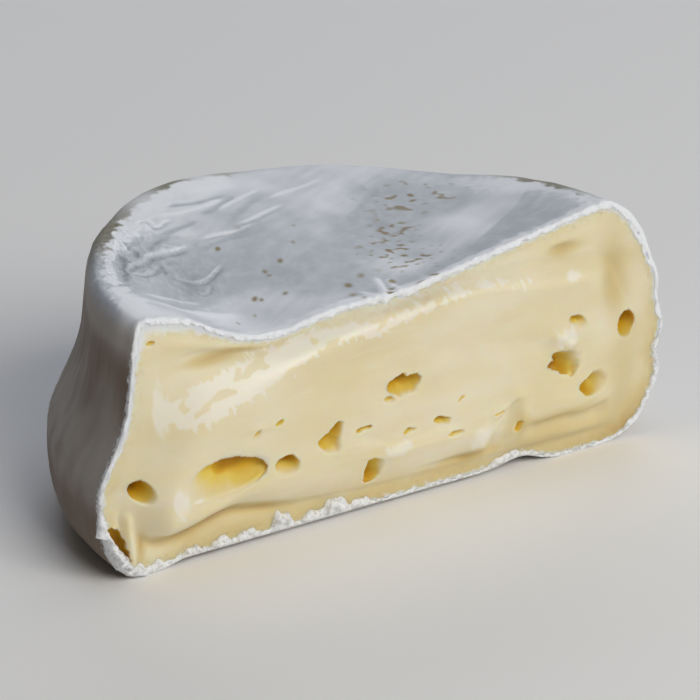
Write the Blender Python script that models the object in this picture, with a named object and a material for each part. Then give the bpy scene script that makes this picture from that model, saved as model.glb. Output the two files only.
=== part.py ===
"""Half of a ripe Camembert, cut straight through the middle of the wheel.

The half is one solid of one piece. Its skin is worked out in polar terms round the wheel's axis: a
dished top, a shoulder, a wall that has slumped near the foot, and a flat base. The cut face is a
patch stretched between the four edges of that skin, with the soft paste bulging out of it. The gas
holes of the paste, called eyes, are cut out of the face with uneven balls.

Metres, +Z up, +X along the cut, and the cut face looks towards -Y. The origin is the middle of the
box round the half, at the base.
"""

import math

import bmesh
import bpy
import numpy as np
from mathutils import Matrix, Vector

MM = 0.001

# The wheel, as it was before it slumped.
WHEEL_DIAMETER = 105.0 * MM
RIM_HEIGHT = 40.4 * MM
MIDDLE_HEIGHT = 34.9 * MM
BULGE_RADIUS = WHEEL_DIAMETER / 2

# The wall at the right end of the cut, at the back, and at the left end. The right end is round and
# firm, the back has a tighter shoulder, and the left end has slumped towards its foot.
CREST_RADIUS = (40.2 * MM, 45.0 * MM, 43.0 * MM)
WALL_RADIUS = (BULGE_RADIUS + 0.3 * MM, BULGE_RADIUS - 1.0 * MM, 46.3 * MM)
SLUMP = (0.0, 0.8 * MM, 6.2 * MM)
SLUMP_SPREAD = 9.5 * MM
WAIST_HEIGHT = (17.0 * MM, 15.0 * MM, 13.0 * MM)
BASE_RADIUS = (40.0 * MM, 42.0 * MM, 44.5 * MM)
SHOULDER_POWER = (1.95, 2.8, 4.5)
FOOT_POWER = (2.6, 2.4, 2.2)
BACK_FROM, BACK_TO = math.radians(36), math.radians(105)
LEFT_FROM = math.radians(150)

# The dish of the top: how softly it bottoms out, and the hollow that has sunk next to the cut.
DISH_SOFTNESS = 0.12
SINK_DEPTH = 4.2 * MM
SINK_X = -23.5 * MM
SINK_LENGTH = 11.5 * MM
SINK_REACH = 24.0 * MM

# The base lifts off the table a little along the cut.
LIFT_HEIGHT = 1.0 * MM
LIFT_REACH = 3.0 * MM

# The paste: how far it has crept out of the cut, and the band along the skin that stays put.
PILLOW_BULGE = 3.4 * MM
PILLOW_FOOT = 4.6 * MM
PILLOW_HEAD = 31.2 * MM
PILLOW_END = 46.0 * MM

# Counts of the mesh: round the wheel, from the cut to the crest, down the wall, and under the base.
ROUND_STEPS = 64
TOP_STEPS = 12
WALL_STEPS = 20
BASE_STEPS = 4
END_PULL = 4

# Eyes: place on the face (x, z), width, height, depth, turn in degrees.
EYES = (
    (-45.0, 13.8, 3.4, 4.9, 4.0, 24),
    (-31.7, 13.8, 13.0, 4.4, 4.0, -7),
    (-20.9, 13.2, 4.2, 2.4, 2.6, -15),
    (-13.3, 16.0, 4.4, 4.2, 3.0, 25),
    (-3.6, 6.9, 3.0, 4.8, 3.6, 12),
    (0.8, 20.9, 6.8, 3.2, 3.4, -12),
    (31.6, 17.7, 6.2, 4.2, 4.4, -25),
    (37.9, 12.4, 5.4, 3.2, 3.4, 20),
    (45.4, 19.5, 3.6, 4.4, 4.4, 0),
    (-49.6, 5.7, 2.0, 7.4, 3.4, 18),
)
EYE_UNEVENNESS = 0.09
EYE_MOUTH = 0.4

# Swells and hollows on the pillow of paste: place (x, z), half-width, half-height, rise, all in mm.
SWELLS = (
    (16.0, 8.6, 5.5, 2.6, 1.1),
    (36.0, 5.2, 9.0, 2.6, 0.9),
    (31.8, 22.2, 3.0, 1.8, 0.8),
    (24.8, 6.8, 1.3, 2.6, -1.6),
    (32.5, 7.6, 6.5, 1.1, -0.9),
    (-43.0, 18.0, 1.6, 7.0, -0.5),
    (-15.6, 24.1, 18.0, 3.0, -0.5),
    (35.4, 33.6, 4.0, 1.0, -1.0),
    (-33.0, 31.4, 8.0, 1.0, -0.9),
)

WRINKLE_SEED = 11


def smooth_step(low, high, value):
    """0 below low, 1 above high, and 3t^2 - 2t^3 between them."""
    t = np.clip((value - low) / (high - low), 0, 1)
    return t * t * (3 - 2 * t)


def hill(value, middle, spread):
    """The bell curve exp(-((value - middle) / spread)^2)."""
    return np.exp(-(((value - middle) / spread) ** 2))


def leaning(sizes, angle):
    """A size that eases from its value at the right end to the one at the back and at the left."""
    right, back, left = sizes
    return (
        right
        + (back - right) * smooth_step(0, BACK_FROM, angle)
        + (left - back) * smooth_step(BACK_TO, LEFT_FROM, angle)
    )


def rim_height(angle):
    """The crest's height round the wheel: a dip at the back right and a puffed corner at the back."""
    degrees = np.degrees(angle)
    return (
        RIM_HEIGHT
        + 0.8 * MM * hill(degrees, 4, 12)
        - 2.1 * MM * hill(degrees, 44, 22)
        + 1.5 * MM * hill(degrees, 106, 15)
    )


def top_height(x, y):
    """Height of the dished top: from the middle up to the crest, less the hollow beside the cut."""
    angle = np.arctan2(y, x)
    share = np.hypot(x, y) / leaning(CREST_RADIUS, angle)
    soft = (np.sqrt(share**2 + DISH_SOFTNESS**2) - DISH_SOFTNESS) / (
        math.sqrt(1 + DISH_SOFTNESS**2) - DISH_SOFTNESS
    )
    sink = SINK_DEPTH * hill(x, SINK_X, SINK_LENGTH) * hill(y, 0, SINK_REACH)
    edge = smooth_step(1.0, 0.7, share)
    return MIDDLE_HEIGHT + (rim_height(angle) - MIDDLE_HEIGHT) * soft - sink * edge


def base_height(x, y):
    """The underside: flat on the table, but lifted along the cut between the two ends."""
    span = smooth_step(-43 * MM, -37 * MM, x) * smooth_step(34 * MM, 26 * MM, x)
    return LIFT_HEIGHT * span * (1 + 0.9 * hill(x, 25 * MM, 4 * MM)) * hill(y, 0, LIFT_REACH)


def wall_waves(angle, height):
    """Low waves of the rind down the wall, strongest at the right end where it has creased."""
    rng = np.random.default_rng(WRINKLE_SEED)
    waves = 0
    for turns, rises in ((5, 0.11), (9, 0.19), (14, 0.07)):
        waves = waves + np.sin(turns * angle + rises * height / MM + rng.uniform(0, 6.28)) / turns
    creases = 0.45 * MM * np.cos(2 * math.pi * (height - 18.5 * MM) / (8.6 * MM))
    low = smooth_step(3 * MM, 9 * MM, height) * smooth_step(34 * MM, 26 * MM, height)
    return 1.2 * MM * waves * low + creases * low * hill(angle, 0, 0.5)


def wall(angle, tilt):
    """Radius and height of the wall. tilt runs from +90 degrees at the crest to -90 at the base.

    Above the waist and below it the outline is a quarter of a superellipse, and the slump is a
    bell curve of height laid over the upper one.
    """
    crest, waist = leaning(CREST_RADIUS, angle), leaning(WAIST_HEIGHT, angle)
    outer, slump = leaning(WALL_RADIUS, angle), leaning(SLUMP, angle)
    foot = leaning(BASE_RADIUS, angle)
    power = np.where(tilt > 0, leaning(SHOULDER_POWER, angle), leaning(FOOT_POWER, angle))
    across, along = np.abs(np.cos(tilt)), np.abs(np.sin(tilt))
    scale = (across**power + along**power) ** (-1 / power)
    across, along = across * scale, along * scale
    height = np.where(tilt > 0, waist + (rim_height(angle) - waist) * along, waist * (1 - along))
    upper = crest + (outer - crest) * across + slump * across * hill(height, waist, SLUMP_SPREAD)
    lower = foot + (outer + slump - foot) * across
    return np.where(tilt > 0, upper, lower) + wall_waves(angle, height) * across, height


def slices(radii, angle, out):
    """Plan points of the slices across the top or base: straight runs from the cut, at out = 0, to
    the edge of the given radius, at out = 1. The starts are spaced along the cut as a cosine."""
    edge = leaning(radii, angle)
    right, _, left = radii
    start = np.cos(angle) * (right + (left - right) * (1 - np.cos(angle)) / 2)
    return start + (edge * np.cos(angle) - start) * out, edge * np.sin(angle) * out


def skin_grid():
    """Points of the skin: one row for each slice round the wheel, from the cut over the top, down
    the wall and back under the base to the cut. The two end slices shrink to the wall's edges."""
    angle = np.linspace(0, math.pi, ROUND_STEPS + 1)[:, None]
    out = np.linspace(0, 1, TOP_STEPS + 1)[None, :-1]
    top_x, top_y = slices(CREST_RADIUS, angle, out)
    top = np.stack([top_x, top_y, top_height(top_x, top_y)], axis=-1)

    tilt = np.linspace(math.pi / 2, -math.pi / 2, WALL_STEPS + 1)[None, :]
    radius, height = wall(angle, tilt)
    side = np.stack([radius * np.cos(angle), radius * np.sin(angle), height], axis=-1)

    back = np.linspace(1, 0, BASE_STEPS + 1)[None, 1:]
    base_x, base_y = slices(BASE_RADIUS, angle, back)
    base = np.stack([base_x, base_y, base_height(base_x, base_y)], axis=-1)
    return np.concatenate([top, side, base], axis=1)


def paste_relief(x, z):
    """How far the paste stands out of the cut plane: a pillow, with its swells and hollows."""
    level = np.clip((z - PILLOW_FOOT) / (PILLOW_HEAD - PILLOW_FOOT), 0, 1)
    pillow = (1 - np.abs(2 * level - 1) ** 2.4) ** 1.4
    pillow = pillow * smooth_step(1.0, 0.66, np.abs(x) / PILLOW_END)
    relief = PILLOW_BULGE * pillow
    for place_x, place_z, half_width, half_height, rise in SWELLS:
        relief = relief + rise * MM * hill(x, place_x * MM, half_width * MM) * hill(
            z, place_z * MM, half_height * MM
        )
    return relief


def face_grid(skin):
    """The cut face, stretched between the skin's four edges and then bulged.

    Across, the edges are blended as in a Coons patch. Up and down, a point keeps its share of the
    height between base and top: the wall's own share at the two ends, an even one between them.
    """
    leftward = np.linspace(0, 1, ROUND_STEPS + 1)[:, None]
    down = np.linspace(0, 1, WALL_STEPS + 1)[None, :]
    top, base = skin[:, :1], skin[:, -1:]
    ends = skin[:, TOP_STEPS : TOP_STEPS + WALL_STEPS + 1]
    right, left = ends[:1], ends[-1:]
    level = (1 - down) * top[..., 0] + down * base[..., 0]
    level_right = (1 - down) * right[:, :1, 0] + down * right[:, -1:, 0]
    level_left = (1 - down) * left[:, :1, 0] + down * left[:, -1:, 0]
    x = level + (1 - leftward) * (right[..., 0] - level_right) + leftward * (left[..., 0] - level_left)

    near_right, near_left = (1 - leftward) ** END_PULL, leftward**END_PULL
    share = (
        near_right * right[..., 2] / right[0, 0, 2]
        + near_left * left[..., 2] / left[0, 0, 2]
        + (1 - near_right - near_left) * (1 - down)
    )
    z = base[..., 2] + (top[..., 2] - base[..., 2]) * share
    inside = np.minimum(leftward, 1 - leftward) * np.minimum(down, 1 - down) > 0
    return np.stack([x, -paste_relief(x, z) * inside, z], axis=-1)


def add_grid(mesh, grid):
    """Lays a grid of points into a bmesh as quads."""
    rows = [[mesh.verts.new(point) for point in row] for row in grid]
    for row, following in zip(rows, rows[1:]):
        for i in range(len(row) - 1):
            mesh.faces.new((row[i], row[i + 1], following[i + 1], following[i]))


def close_half():
    """The half as one closed mesh: skin and face welded along their shared edges."""
    skin = skin_grid()
    body = bmesh.new()
    add_grid(body, skin)
    add_grid(body, face_grid(skin)[:, ::-1])
    bmesh.ops.remove_doubles(body, verts=body.verts, dist=1e-6)
    bmesh.ops.dissolve_degenerate(body, edges=body.edges, dist=1e-6)
    bmesh.ops.triangulate(body, faces=body.faces)
    bmesh.ops.recalc_face_normals(body, faces=body.faces)
    return body


def eye_cutter(index, place_x, place_z, width, height, depth, turn):
    """An uneven ball that opens on the face and reaches into it by its depth."""
    rng = np.random.default_rng(index)
    x, z = place_x * MM, place_z * MM
    surface = -float(paste_relief(np.float64(x), np.float64(z)))
    ball = bmesh.new()
    bmesh.ops.create_icosphere(ball, subdivisions=2, radius=1.0)
    lean = rng.normal(size=(3, 3))
    for vert in ball.verts:
        ripple = sum(math.sin(3 * vert.co.dot(Vector(axis)) + index) for axis in lean) / 3
        vert.co *= 1 + EYE_UNEVENNESS * ripple
    reach = depth * MM / (2 - EYE_MOUTH)
    mouth = math.sqrt(1 - (1 - EYE_MOUTH) ** 2)
    size = Matrix.Diagonal((width * MM / 2 / mouth, reach, height * MM / 2 / mouth, 1))
    place = Matrix.Translation((x, surface + reach * (1 - EYE_MOUTH), z))
    spin = Matrix.Rotation(math.radians(-turn), 4, "Y")
    bmesh.ops.transform(ball, matrix=place @ spin @ size, verts=ball.verts)
    mesh = bpy.data.meshes.new(f"eye_{index}")
    ball.to_mesh(mesh)
    ball.free()
    cutter = bpy.data.objects.new(f"eye_{index}", mesh)
    cutter.hide_render = True
    cutter.display_type = "WIRE"
    return cutter


def rind_and_paste():
    """Materials: the chalky white bloom of the skin, and the glossy ivory paste of the cut."""
    made = []
    for name, colour, roughness in (
        ("bloomy_rind", (0.62, 0.63, 0.66, 1), 0.85),
        ("soft_paste", (0.78, 0.66, 0.38, 1), 0.35),
    ):
        material = bpy.data.materials.new(name)
        material.use_nodes = True
        shader = material.node_tree.nodes["Principled BSDF"]
        shader.inputs["Base Color"].default_value = colour
        shader.inputs["Roughness"].default_value = roughness
        shader.inputs["Metallic"].default_value = 0.0
        made.append(material)
    return made


def main():
    for item in list(bpy.data.objects):
        bpy.data.objects.remove(item, do_unlink=True)

    body = close_half()
    mesh = bpy.data.meshes.new("camembert")
    body.to_mesh(mesh)
    body.free()
    for material in rind_and_paste():
        mesh.materials.append(material)
    cheese = bpy.data.objects.new("camembert", mesh)
    bpy.context.scene.collection.objects.link(cheese)

    cutters = bpy.data.collections.new("eyes")
    bpy.context.scene.collection.children.link(cutters)
    for index, eye in enumerate(EYES):
        cutters.objects.link(eye_cutter(index, *eye))
    cut = cheese.modifiers.new("eyes", "BOOLEAN")
    cut.operation = "DIFFERENCE"
    cut.operand_type = "COLLECTION"
    cut.collection = cutters
    cut.solver = "EXACT"

    # The cut is applied, so that the box's middle can be brought over the origin.
    graph = bpy.context.evaluated_depsgraph_get()
    finished = bpy.data.meshes.new_from_object(cheese.evaluated_get(graph))
    cheese.modifiers.clear()
    cheese.data = finished
    for cutter in list(cutters.objects):
        bpy.data.objects.remove(cutter, do_unlink=True)
    bpy.data.collections.remove(cutters)

    points = np.empty(len(finished.vertices) * 3, np.float32)
    finished.vertices.foreach_get("co", points)
    low, high = points.reshape(-1, 3).min(axis=0), points.reshape(-1, 3).max(axis=0)
    middle = (low + high) / 2
    finished.transform(Matrix.Translation((-middle[0], -middle[1], -low[2])))

    # Faces that look out of the cut, or lie within an eye, are paste; the rest is rind.
    for polygon in finished.polygons:
        in_cut = polygon.center.y < -middle[1] + 6 * MM and abs(polygon.normal.y) > 0.3
        polygon.material_index = int(in_cut and polygon.center.z > 1 * MM)
    finished.shade_smooth()
    finished.set_sharp_from_angle(angle=math.radians(35))
    print("wheel axis in the part's frame (mm):", -middle[:2] / MM, "size (mm):", (high - low) / MM)


main()
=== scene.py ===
# %% [markdown]
# # Half of a ripe Camembert
# A Camembert is a flat wheel of soft cheese. White mould grows into a felt on its outside, the
# rind, while the curd inside ripens to a soft ivory paste. Cut in half and left a while at room
# temperature, the wall sags, the top sinks, and the paste creeps out of the cut like a pillow.
#
# The solid model of the half is loaded first and stays as it is, as the frame that everything is
# built on. The rind and the paste that are seen are then laid over it as two surfaces, each worked
# out with numpy from two running numbers. Lengths are in millimetres, measured from the wheel's
# axis, until a mesh is made.

# %% Load the solid model
import itertools
import math

import bpy
import numpy as np
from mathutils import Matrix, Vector


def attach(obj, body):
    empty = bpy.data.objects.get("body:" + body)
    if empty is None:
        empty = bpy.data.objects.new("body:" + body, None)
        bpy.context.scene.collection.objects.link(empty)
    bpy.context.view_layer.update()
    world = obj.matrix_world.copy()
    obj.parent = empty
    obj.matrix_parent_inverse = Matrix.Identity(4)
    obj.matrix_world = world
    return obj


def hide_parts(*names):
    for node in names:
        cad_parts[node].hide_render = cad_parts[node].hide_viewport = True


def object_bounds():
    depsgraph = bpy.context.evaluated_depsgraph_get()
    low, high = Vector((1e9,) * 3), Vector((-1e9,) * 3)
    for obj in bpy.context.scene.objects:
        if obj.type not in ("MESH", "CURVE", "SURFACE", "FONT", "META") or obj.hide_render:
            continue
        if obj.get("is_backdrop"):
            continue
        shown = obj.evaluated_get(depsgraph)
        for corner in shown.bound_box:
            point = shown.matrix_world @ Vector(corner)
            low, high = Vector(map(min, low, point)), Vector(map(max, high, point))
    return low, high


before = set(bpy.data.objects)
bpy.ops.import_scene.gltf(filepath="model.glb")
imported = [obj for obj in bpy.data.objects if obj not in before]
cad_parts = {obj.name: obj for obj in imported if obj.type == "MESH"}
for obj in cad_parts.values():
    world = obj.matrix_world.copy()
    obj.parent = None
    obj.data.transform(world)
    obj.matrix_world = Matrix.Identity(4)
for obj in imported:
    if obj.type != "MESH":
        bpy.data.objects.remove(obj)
solid_low, solid_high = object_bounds()
MM = 0.001
print("solid model, mm:", [round(size / MM, 1) for size in solid_high - solid_low])

# %% [markdown]
# ## The smooth skin
# Seen from above, the wheel is nearly round, so its skin is easiest to write in polar terms: an
# angle round the axis, and a way down from the middle of the top to the middle of the base. It
# could be modelled by hand from a cylinder, but then the dents would have no sizes to change. Here
# each size has a value at the right end of the cut, at the back and at the left end, and eases
# from one to the next.

# %% Sizes of the wheel
RIM_HEIGHT, MIDDLE_HEIGHT = 40.4, 34.9
CREST_RADIUS = (40.2, 45.0, 43.0)
WALL_RADIUS = (52.8, 51.5, 46.3)
BASE_RADIUS = (40.0, 42.0, 44.5)
WAIST_HEIGHT = (17.0, 15.0, 13.0)
SHOULDER_POWER, FOOT_POWER = (1.95, 2.8, 4.5), (2.6, 2.4, 2.2)
SLUMP, SLUMP_SPREAD = (0.0, 0.8, 6.2), 9.5
BACK_FROM, BACK_TO, LEFT_FROM = math.radians(36), math.radians(105), math.radians(150)


def smooth_step(low, high, value):
    """0 below low, 1 above high, and 3t^2 - 2t^3 between them."""
    t = np.clip((value - low) / (high - low), 0, 1)
    return t * t * (3 - 2 * t)


def hill(value, middle, spread):
    """The bell curve exp(-((value - middle) / spread)^2)."""
    return np.exp(-(((value - middle) / spread) ** 2))


def patch(x, y, middle_x, middle_y, half_x, half_y):
    """A bell-shaped patch, 1 in its middle and 1/e on the oval of its two half-widths."""
    return hill(np.hypot((x - middle_x) / half_x, (y - middle_y) / half_y), 0, 1)


def patches(x, y, rows):
    """Sum of patches, each given as its middle, its half-widths and its strength."""
    return sum(strength * patch(x, y, *place) for *place, strength in rows)


def leaning(sizes, angle):
    """A size that eases from its value at the right end to the one at the back and at the left."""
    right, back, left = sizes
    return (
        right
        + (back - right) * smooth_step(0, BACK_FROM, angle)
        + (left - back) * smooth_step(BACK_TO, LEFT_FROM, angle)
    )


print("wheel across, mm:", WALL_RADIUS[0] * 2)

# %% [markdown]
# The top is a dish: highest along the rim, lowest in the middle, with a hollow beside the cut where
# the paste has run out from under it. The base is flat and lifts a little along the cut.

# %% Top and base
# How softly the dish ends in its middle, and where the hollow starts to fade: shares of the rim.
DISH_SOFTNESS, HOLLOW_ENDS = 0.12, 0.7
SINK_DEPTH, SINK_X, SINK_LENGTH, SINK_REACH = 4.2, -23.5, 11.5, 24.0
LIFT_HEIGHT, LIFT_REACH = 1.0, 3.0
# Changes of the crest's height: middle in degrees round the wheel, spread, rise.
CREST_CHANGES = ((4, 12, 0.8), (44, 22, -2.1), (106, 15, 1.5))
# Ends of the lift along the cut, where it is nil and where it is full, and its higher place.
LIFT_LEFT, LIFT_RIGHT = (-43, -37), (34, 26)
LIFT_PEAK, LIFT_PEAK_WIDTH, LIFT_PEAK_MORE = 25, 4, 0.9


def rim_height(angle):
    """The crest's height: a dip at the back right and a puffed corner at the back."""
    degrees = np.degrees(angle)
    return RIM_HEIGHT + sum(rise * hill(degrees, *place) for *place, rise in CREST_CHANGES)


def top_height(x, y):
    """Height of the dish, a softened cone from the middle up to the crest, less the hollow."""
    angle = np.arctan2(y, x)
    share = np.hypot(x, y) / leaning(CREST_RADIUS, angle)
    soft = (np.sqrt(share**2 + DISH_SOFTNESS**2) - DISH_SOFTNESS) / (
        math.sqrt(1 + DISH_SOFTNESS**2) - DISH_SOFTNESS
    )
    sink = SINK_DEPTH * hill(x, SINK_X, SINK_LENGTH) * hill(y, 0, SINK_REACH)
    dish = MIDDLE_HEIGHT + (rim_height(angle) - MIDDLE_HEIGHT) * soft
    return dish - sink * smooth_step(1.0, HOLLOW_ENDS, share)


def base_height(x, y):
    """The underside: flat, but lifted along the cut between its two ends."""
    span = smooth_step(*LIFT_LEFT, x) * smooth_step(*LIFT_RIGHT, x)
    higher = 1 + LIFT_PEAK_MORE * hill(x, LIFT_PEAK, LIFT_PEAK_WIDTH)
    return LIFT_HEIGHT * span * higher * hill(y, 0, LIFT_REACH)


print("top over the axis, mm:", round(float(top_height(0.0, 0.0)), 1))

# %% [markdown]
# The wall's outline is two quarters of a superellipse, one above the waist and one below it. A
# superellipse is an ellipse whose power can be raised to make its shoulder squarer, so one formula
# gives both the round right end and the flat, slumped left end.

# %% Wall
# Waves round the wall: how many, and how they turn with height, in radians per mm.
WAVE_SEED, WAVE_RISE, WAVES = 11, 1.2, ((5, 0.11), (9, 0.19), (14, 0.07))
# Creases at the right end: their rise, spacing, the height of one, and how far round they go.
CREASE_RISE, CREASE_APART, CREASE_HEIGHT, CREASE_REACH = 0.45, 8.6, 18.5, 0.5


def wall_waves(angle, height):
    """Low waves down the wall: three sines round the wheel, and creases at the right end."""
    rng = np.random.default_rng(WAVE_SEED)
    waves = 0
    for turns, rises in WAVES:
        waves = waves + np.sin(turns * angle + rises * height + rng.uniform(0, 6.28)) / turns
    creases = CREASE_RISE * np.cos(2 * math.pi * (height - CREASE_HEIGHT) / CREASE_APART)
    between = smooth_step(3, 9, height) * smooth_step(34, 26, height)
    return between * (WAVE_RISE * waves + creases * hill(angle, 0, CREASE_REACH))


def wall(angle, tilt):
    """Radius and height of the wall, for a tilt from +90 degrees at the crest to -90 at the base.

    Each half is a quarter of a superellipse; a bell curve of height gives the slump.
    """
    crest, waist = leaning(CREST_RADIUS, angle), leaning(WAIST_HEIGHT, angle)
    outer, slump = leaning(WALL_RADIUS, angle), leaning(SLUMP, angle)
    foot = leaning(BASE_RADIUS, angle)
    power = np.where(tilt > 0, leaning(SHOULDER_POWER, angle), leaning(FOOT_POWER, angle))
    across, along = np.abs(np.cos(tilt)), np.abs(np.sin(tilt))
    scale = (across**power + along**power) ** (-1 / power)
    across, along = across * scale, along * scale
    height = np.where(tilt > 0, waist + (rim_height(angle) - waist) * along, waist * (1 - along))
    upper = crest + (outer - crest) * across + slump * across * hill(height, waist, SLUMP_SPREAD)
    lower = foot + (outer + slump - foot) * across
    return np.where(tilt > 0, upper, lower) + wall_waves(angle, height) * across, height


def slices(radii, angle, out):
    """Plan points of straight slices, from the cut at out = 0 to the given radius at out = 1.

    The starts are spaced along the cut as a cosine, so the first and last slice are points.
    """
    edge = leaning(radii, angle)
    right, _, left = radii
    start = np.cos(angle) * (right + (left - right) * (1 - np.cos(angle)) / 2)
    return start + (edge * np.cos(angle) - start) * out, edge * np.sin(angle) * out


def skin(angle, out, tilt, back):
    """Points of the skin and the way each one faces, as two arrays (angles, steps, 3).

    Each row runs from the cut over the top (out), down the wall (tilt) and under the base (back).
    A point faces outwards by its tilt: straight up on the top, straight down on the base.
    """
    angle, out, back = angle[:, None], out[None, :], back[None, :]
    top_x, top_y = slices(CREST_RADIUS, angle, out)
    base_x, base_y = slices(BASE_RADIUS, angle, back)
    radius, height = wall(angle, tilt[None, :])
    x = np.concatenate([top_x, radius * np.cos(angle), base_x], axis=1)
    y = np.concatenate([top_y, radius * np.sin(angle), base_y], axis=1)
    z = np.concatenate([top_height(top_x, top_y), height, base_height(base_x, base_y)], axis=1)
    turn = np.concatenate([np.full(out.size, math.pi / 2), tilt, np.full(back.size, -math.pi / 2)])
    flat = np.cos(turn)[None, :]
    facing = np.cos(angle) * flat, np.sin(angle) * flat, np.sin(turn)[None, :] + 0 * angle
    return np.stack([x, y, z], axis=-1), np.stack(facing, axis=-1)


half_turn, quarters = np.linspace(0, math.pi, 65), np.linspace(1, -1, 21) * math.pi / 2
plain, _ = skin(half_turn, np.linspace(0, 1, 12), quarters, half_turn[:1])
low, high = plain.min(axis=(0, 1)), plain.max(axis=(0, 1))
middle_x = (solid_low.x + solid_high.x) / 2 - (low[0] + high[0]) / 2 * MM
AXIS = Vector((middle_x, solid_high.y - high[1] * MM, solid_low.z - low[2] * MM))
print("wheel axis in the frame, mm:", [round(value / MM, 2) for value in AXIS])

# %% [markdown]
# ## Unevenness
# Mould and curd have no straight lines, so every surface gets some noise. Blender's own noise works
# on one point at a time. Here a whole array is done at once with gradient noise: each corner of a
# lattice gets a random slope, and the slopes are blended in between. It has no steps, so it also
# takes light well when it moves a surface.

# %% Noise for whole arrays
NOISE_GAIN = 1.6


def scatter(cell, seed):
    """A number from -1 to 1 for each lattice cell, mixed from its three counts and the seed."""
    count = cell.astype(np.uint32)
    mixed = (
        count[..., 0] * np.uint32(374761393)
        + count[..., 1] * np.uint32(668265263)
        + count[..., 2] * np.uint32(2246822519)
        + np.uint32(seed * 97 + 13)
    )
    for shift, factor in ((15, 2246822519), (13, 3266489917)):
        mixed = (mixed ^ (mixed >> np.uint32(shift))) * np.uint32(factor)
    return (mixed ^ (mixed >> np.uint32(16))) / 2147483647.5 - 1


def noise(points, size, seed, layers=1):
    """Gradient noise, about -1 to 1, with bumps of the given size along each axis.

    Each corner's random slope times the way from it is blended with weights 3t^2 - 2t^3. A
    further layer has half the size and half the strength.
    """
    total = 0
    for layer in range(layers):
        place = points / (np.asarray(size) / 2**layer)
        cell = np.floor(place).astype(np.int64)
        part = place - cell
        ease = part * part * (3 - 2 * part)
        for corner in itertools.product((0, 1), repeat=3):
            weight = np.prod(np.where(corner, ease, 1 - ease), axis=-1)
            slopes = (scatter(cell + corner, seed + 7 * layer + 31 * axis) for axis in range(3))
            rise = sum(slope * (part[..., axis] - corner[axis]) for axis, slope in enumerate(slopes))
            total = total + NOISE_GAIN * weight * rise / 2**layer
    return total


def uneven(points, *rows):
    """Sum of noises, each given as its strength, size, seed and number of layers."""
    return sum(strength * noise(points, *form) for strength, *form in rows)


sample = noise(np.random.default_rng(1).uniform(0, 50, (4000, 3)), 3.0, 5)
print("noise spread:", round(float(sample.std()), 2), "peak:", round(float(np.abs(sample).max()), 2))

# %% [markdown]
# Folds, creases and dragged lines follow a path. Each is given as a few points, and its relief
# depends only on how far a place is from that path and on which side of it.

# %% Folds along a path
PATH_STEPS = 5


def curve(place, nodes):
    """Smooth curve through nodes (place, value), level beyond the first and the last of them.

    Between two nodes it is the cubic that has their values and their slopes.
    """
    places, values = np.array(nodes, float).T
    slopes = np.gradient(values, places)
    run = np.clip(np.searchsorted(places, place, side="right") - 1, 0, len(places) - 2)
    width = places[run + 1] - places[run]
    t = np.clip((place - places[run]) / width, 0, 1)
    ease = t * t * (3 - 2 * t)
    bend = (slopes[run] * (1 - t) - slopes[run + 1] * t) * t * (1 - t) * width
    return values[run] * (1 - ease) + values[run + 1] * ease + bend


def rounded(path):
    """The path with more points, which rounds its corners."""
    path = np.array(path, float)
    if len(path) < 3:
        return path
    nodes = np.arange(len(path))
    steps = np.linspace(0, len(path) - 1, (len(path) - 1) * PATH_STEPS + 1)
    return np.stack([curve(steps, np.stack([nodes, path[:, axis]], -1)) for axis in (0, 1)], -1)


def along_path(path, x, y):
    """Distance to a path of straight runs, positive on its left, and how far along it (0 to 1)."""
    runs = np.diff(path, axis=0)
    lengths = np.hypot(runs[:, 0], runs[:, 1])
    passed = np.concatenate([[0], np.cumsum(lengths)])
    best, side, share = np.full(np.shape(x), 1e9), np.zeros(np.shape(x)), np.zeros(np.shape(x))
    for start, run, length, before in zip(path, runs, lengths, passed):
        off_x, off_y = x - start[0], y - start[1]
        t = np.clip((off_x * run[0] + off_y * run[1]) / length**2, 0, 1)
        away = np.hypot(off_x - t * run[0], off_y - t * run[1])
        nearer = away < best
        best = np.where(nearer, away, best)
        side = np.where(nearer, np.sign(run[0] * off_y - run[1] * off_x), side)
        share = np.where(nearer, (before + t * length) / passed[-1], share)
    return best * side, share


def faded(share, early=0.0):
    """Fades in over the first fifth of a path and out over the last; early moves both outwards."""
    return smooth_step(-early, 0.2, share) * smooth_step(1 + early, 0.8, share)


def fold(path, x, y, width, height, crease=0.0):
    """Relief of a fold: a bell-shaped ridge along the path, with a crease beside it.

    The crease is on the left of the path, or on the right where it is negative. Both fade in and
    out over the first and last fifth of the path.
    """
    path, reach = rounded(path), 4.5 * width
    near = (x > path[:, 0].min() - reach) & (x < path[:, 0].max() + reach)
    near &= (y > path[:, 1].min() - reach) & (y < path[:, 1].max() + reach)
    away, share = along_path(path, x[near], y[near])
    beside = abs(crease) * hill(away, np.sign(crease) * 1.5 * width, 0.8 * width)
    relief = np.zeros(np.shape(x))
    relief[near] = height * faded(share, 0.05) * (hill(away, 0, width) - beside)
    return relief


across = np.linspace(-2, 2, 5)
print("ridge across a path:", fold(((0, 0), (10, 0)), across * 0 + 5, across, 1, 1).round(2))

# %% [markdown]
# ## Building a closed surface
# Both pieces are closed: a visible surface in front, and a plain hidden one behind it that meets it
# along a shared edge. A grid of corner numbers is enough to describe either. Where two neighbours
# carry the same number the faces between them vanish, which is how poles close and how the hidden
# side is thinned out to few faces.

# %% Grids of corners


def thinned(numbers, step):
    """The grid of numbers with its inside snapped to every step-th row and column."""
    rows, columns = numbers.shape
    row = np.clip(np.round(np.arange(rows) / step) * step, 1, rows - 2).astype(int)
    column = np.clip(np.round(np.arange(columns) / step) * step, 1, columns - 2).astype(int)
    snapped = numbers[np.ix_(row, column)]
    snapped[[0, -1]], snapped[:, [0, -1]] = numbers[[0, -1]], numbers[:, [0, -1]]
    return snapped


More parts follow.
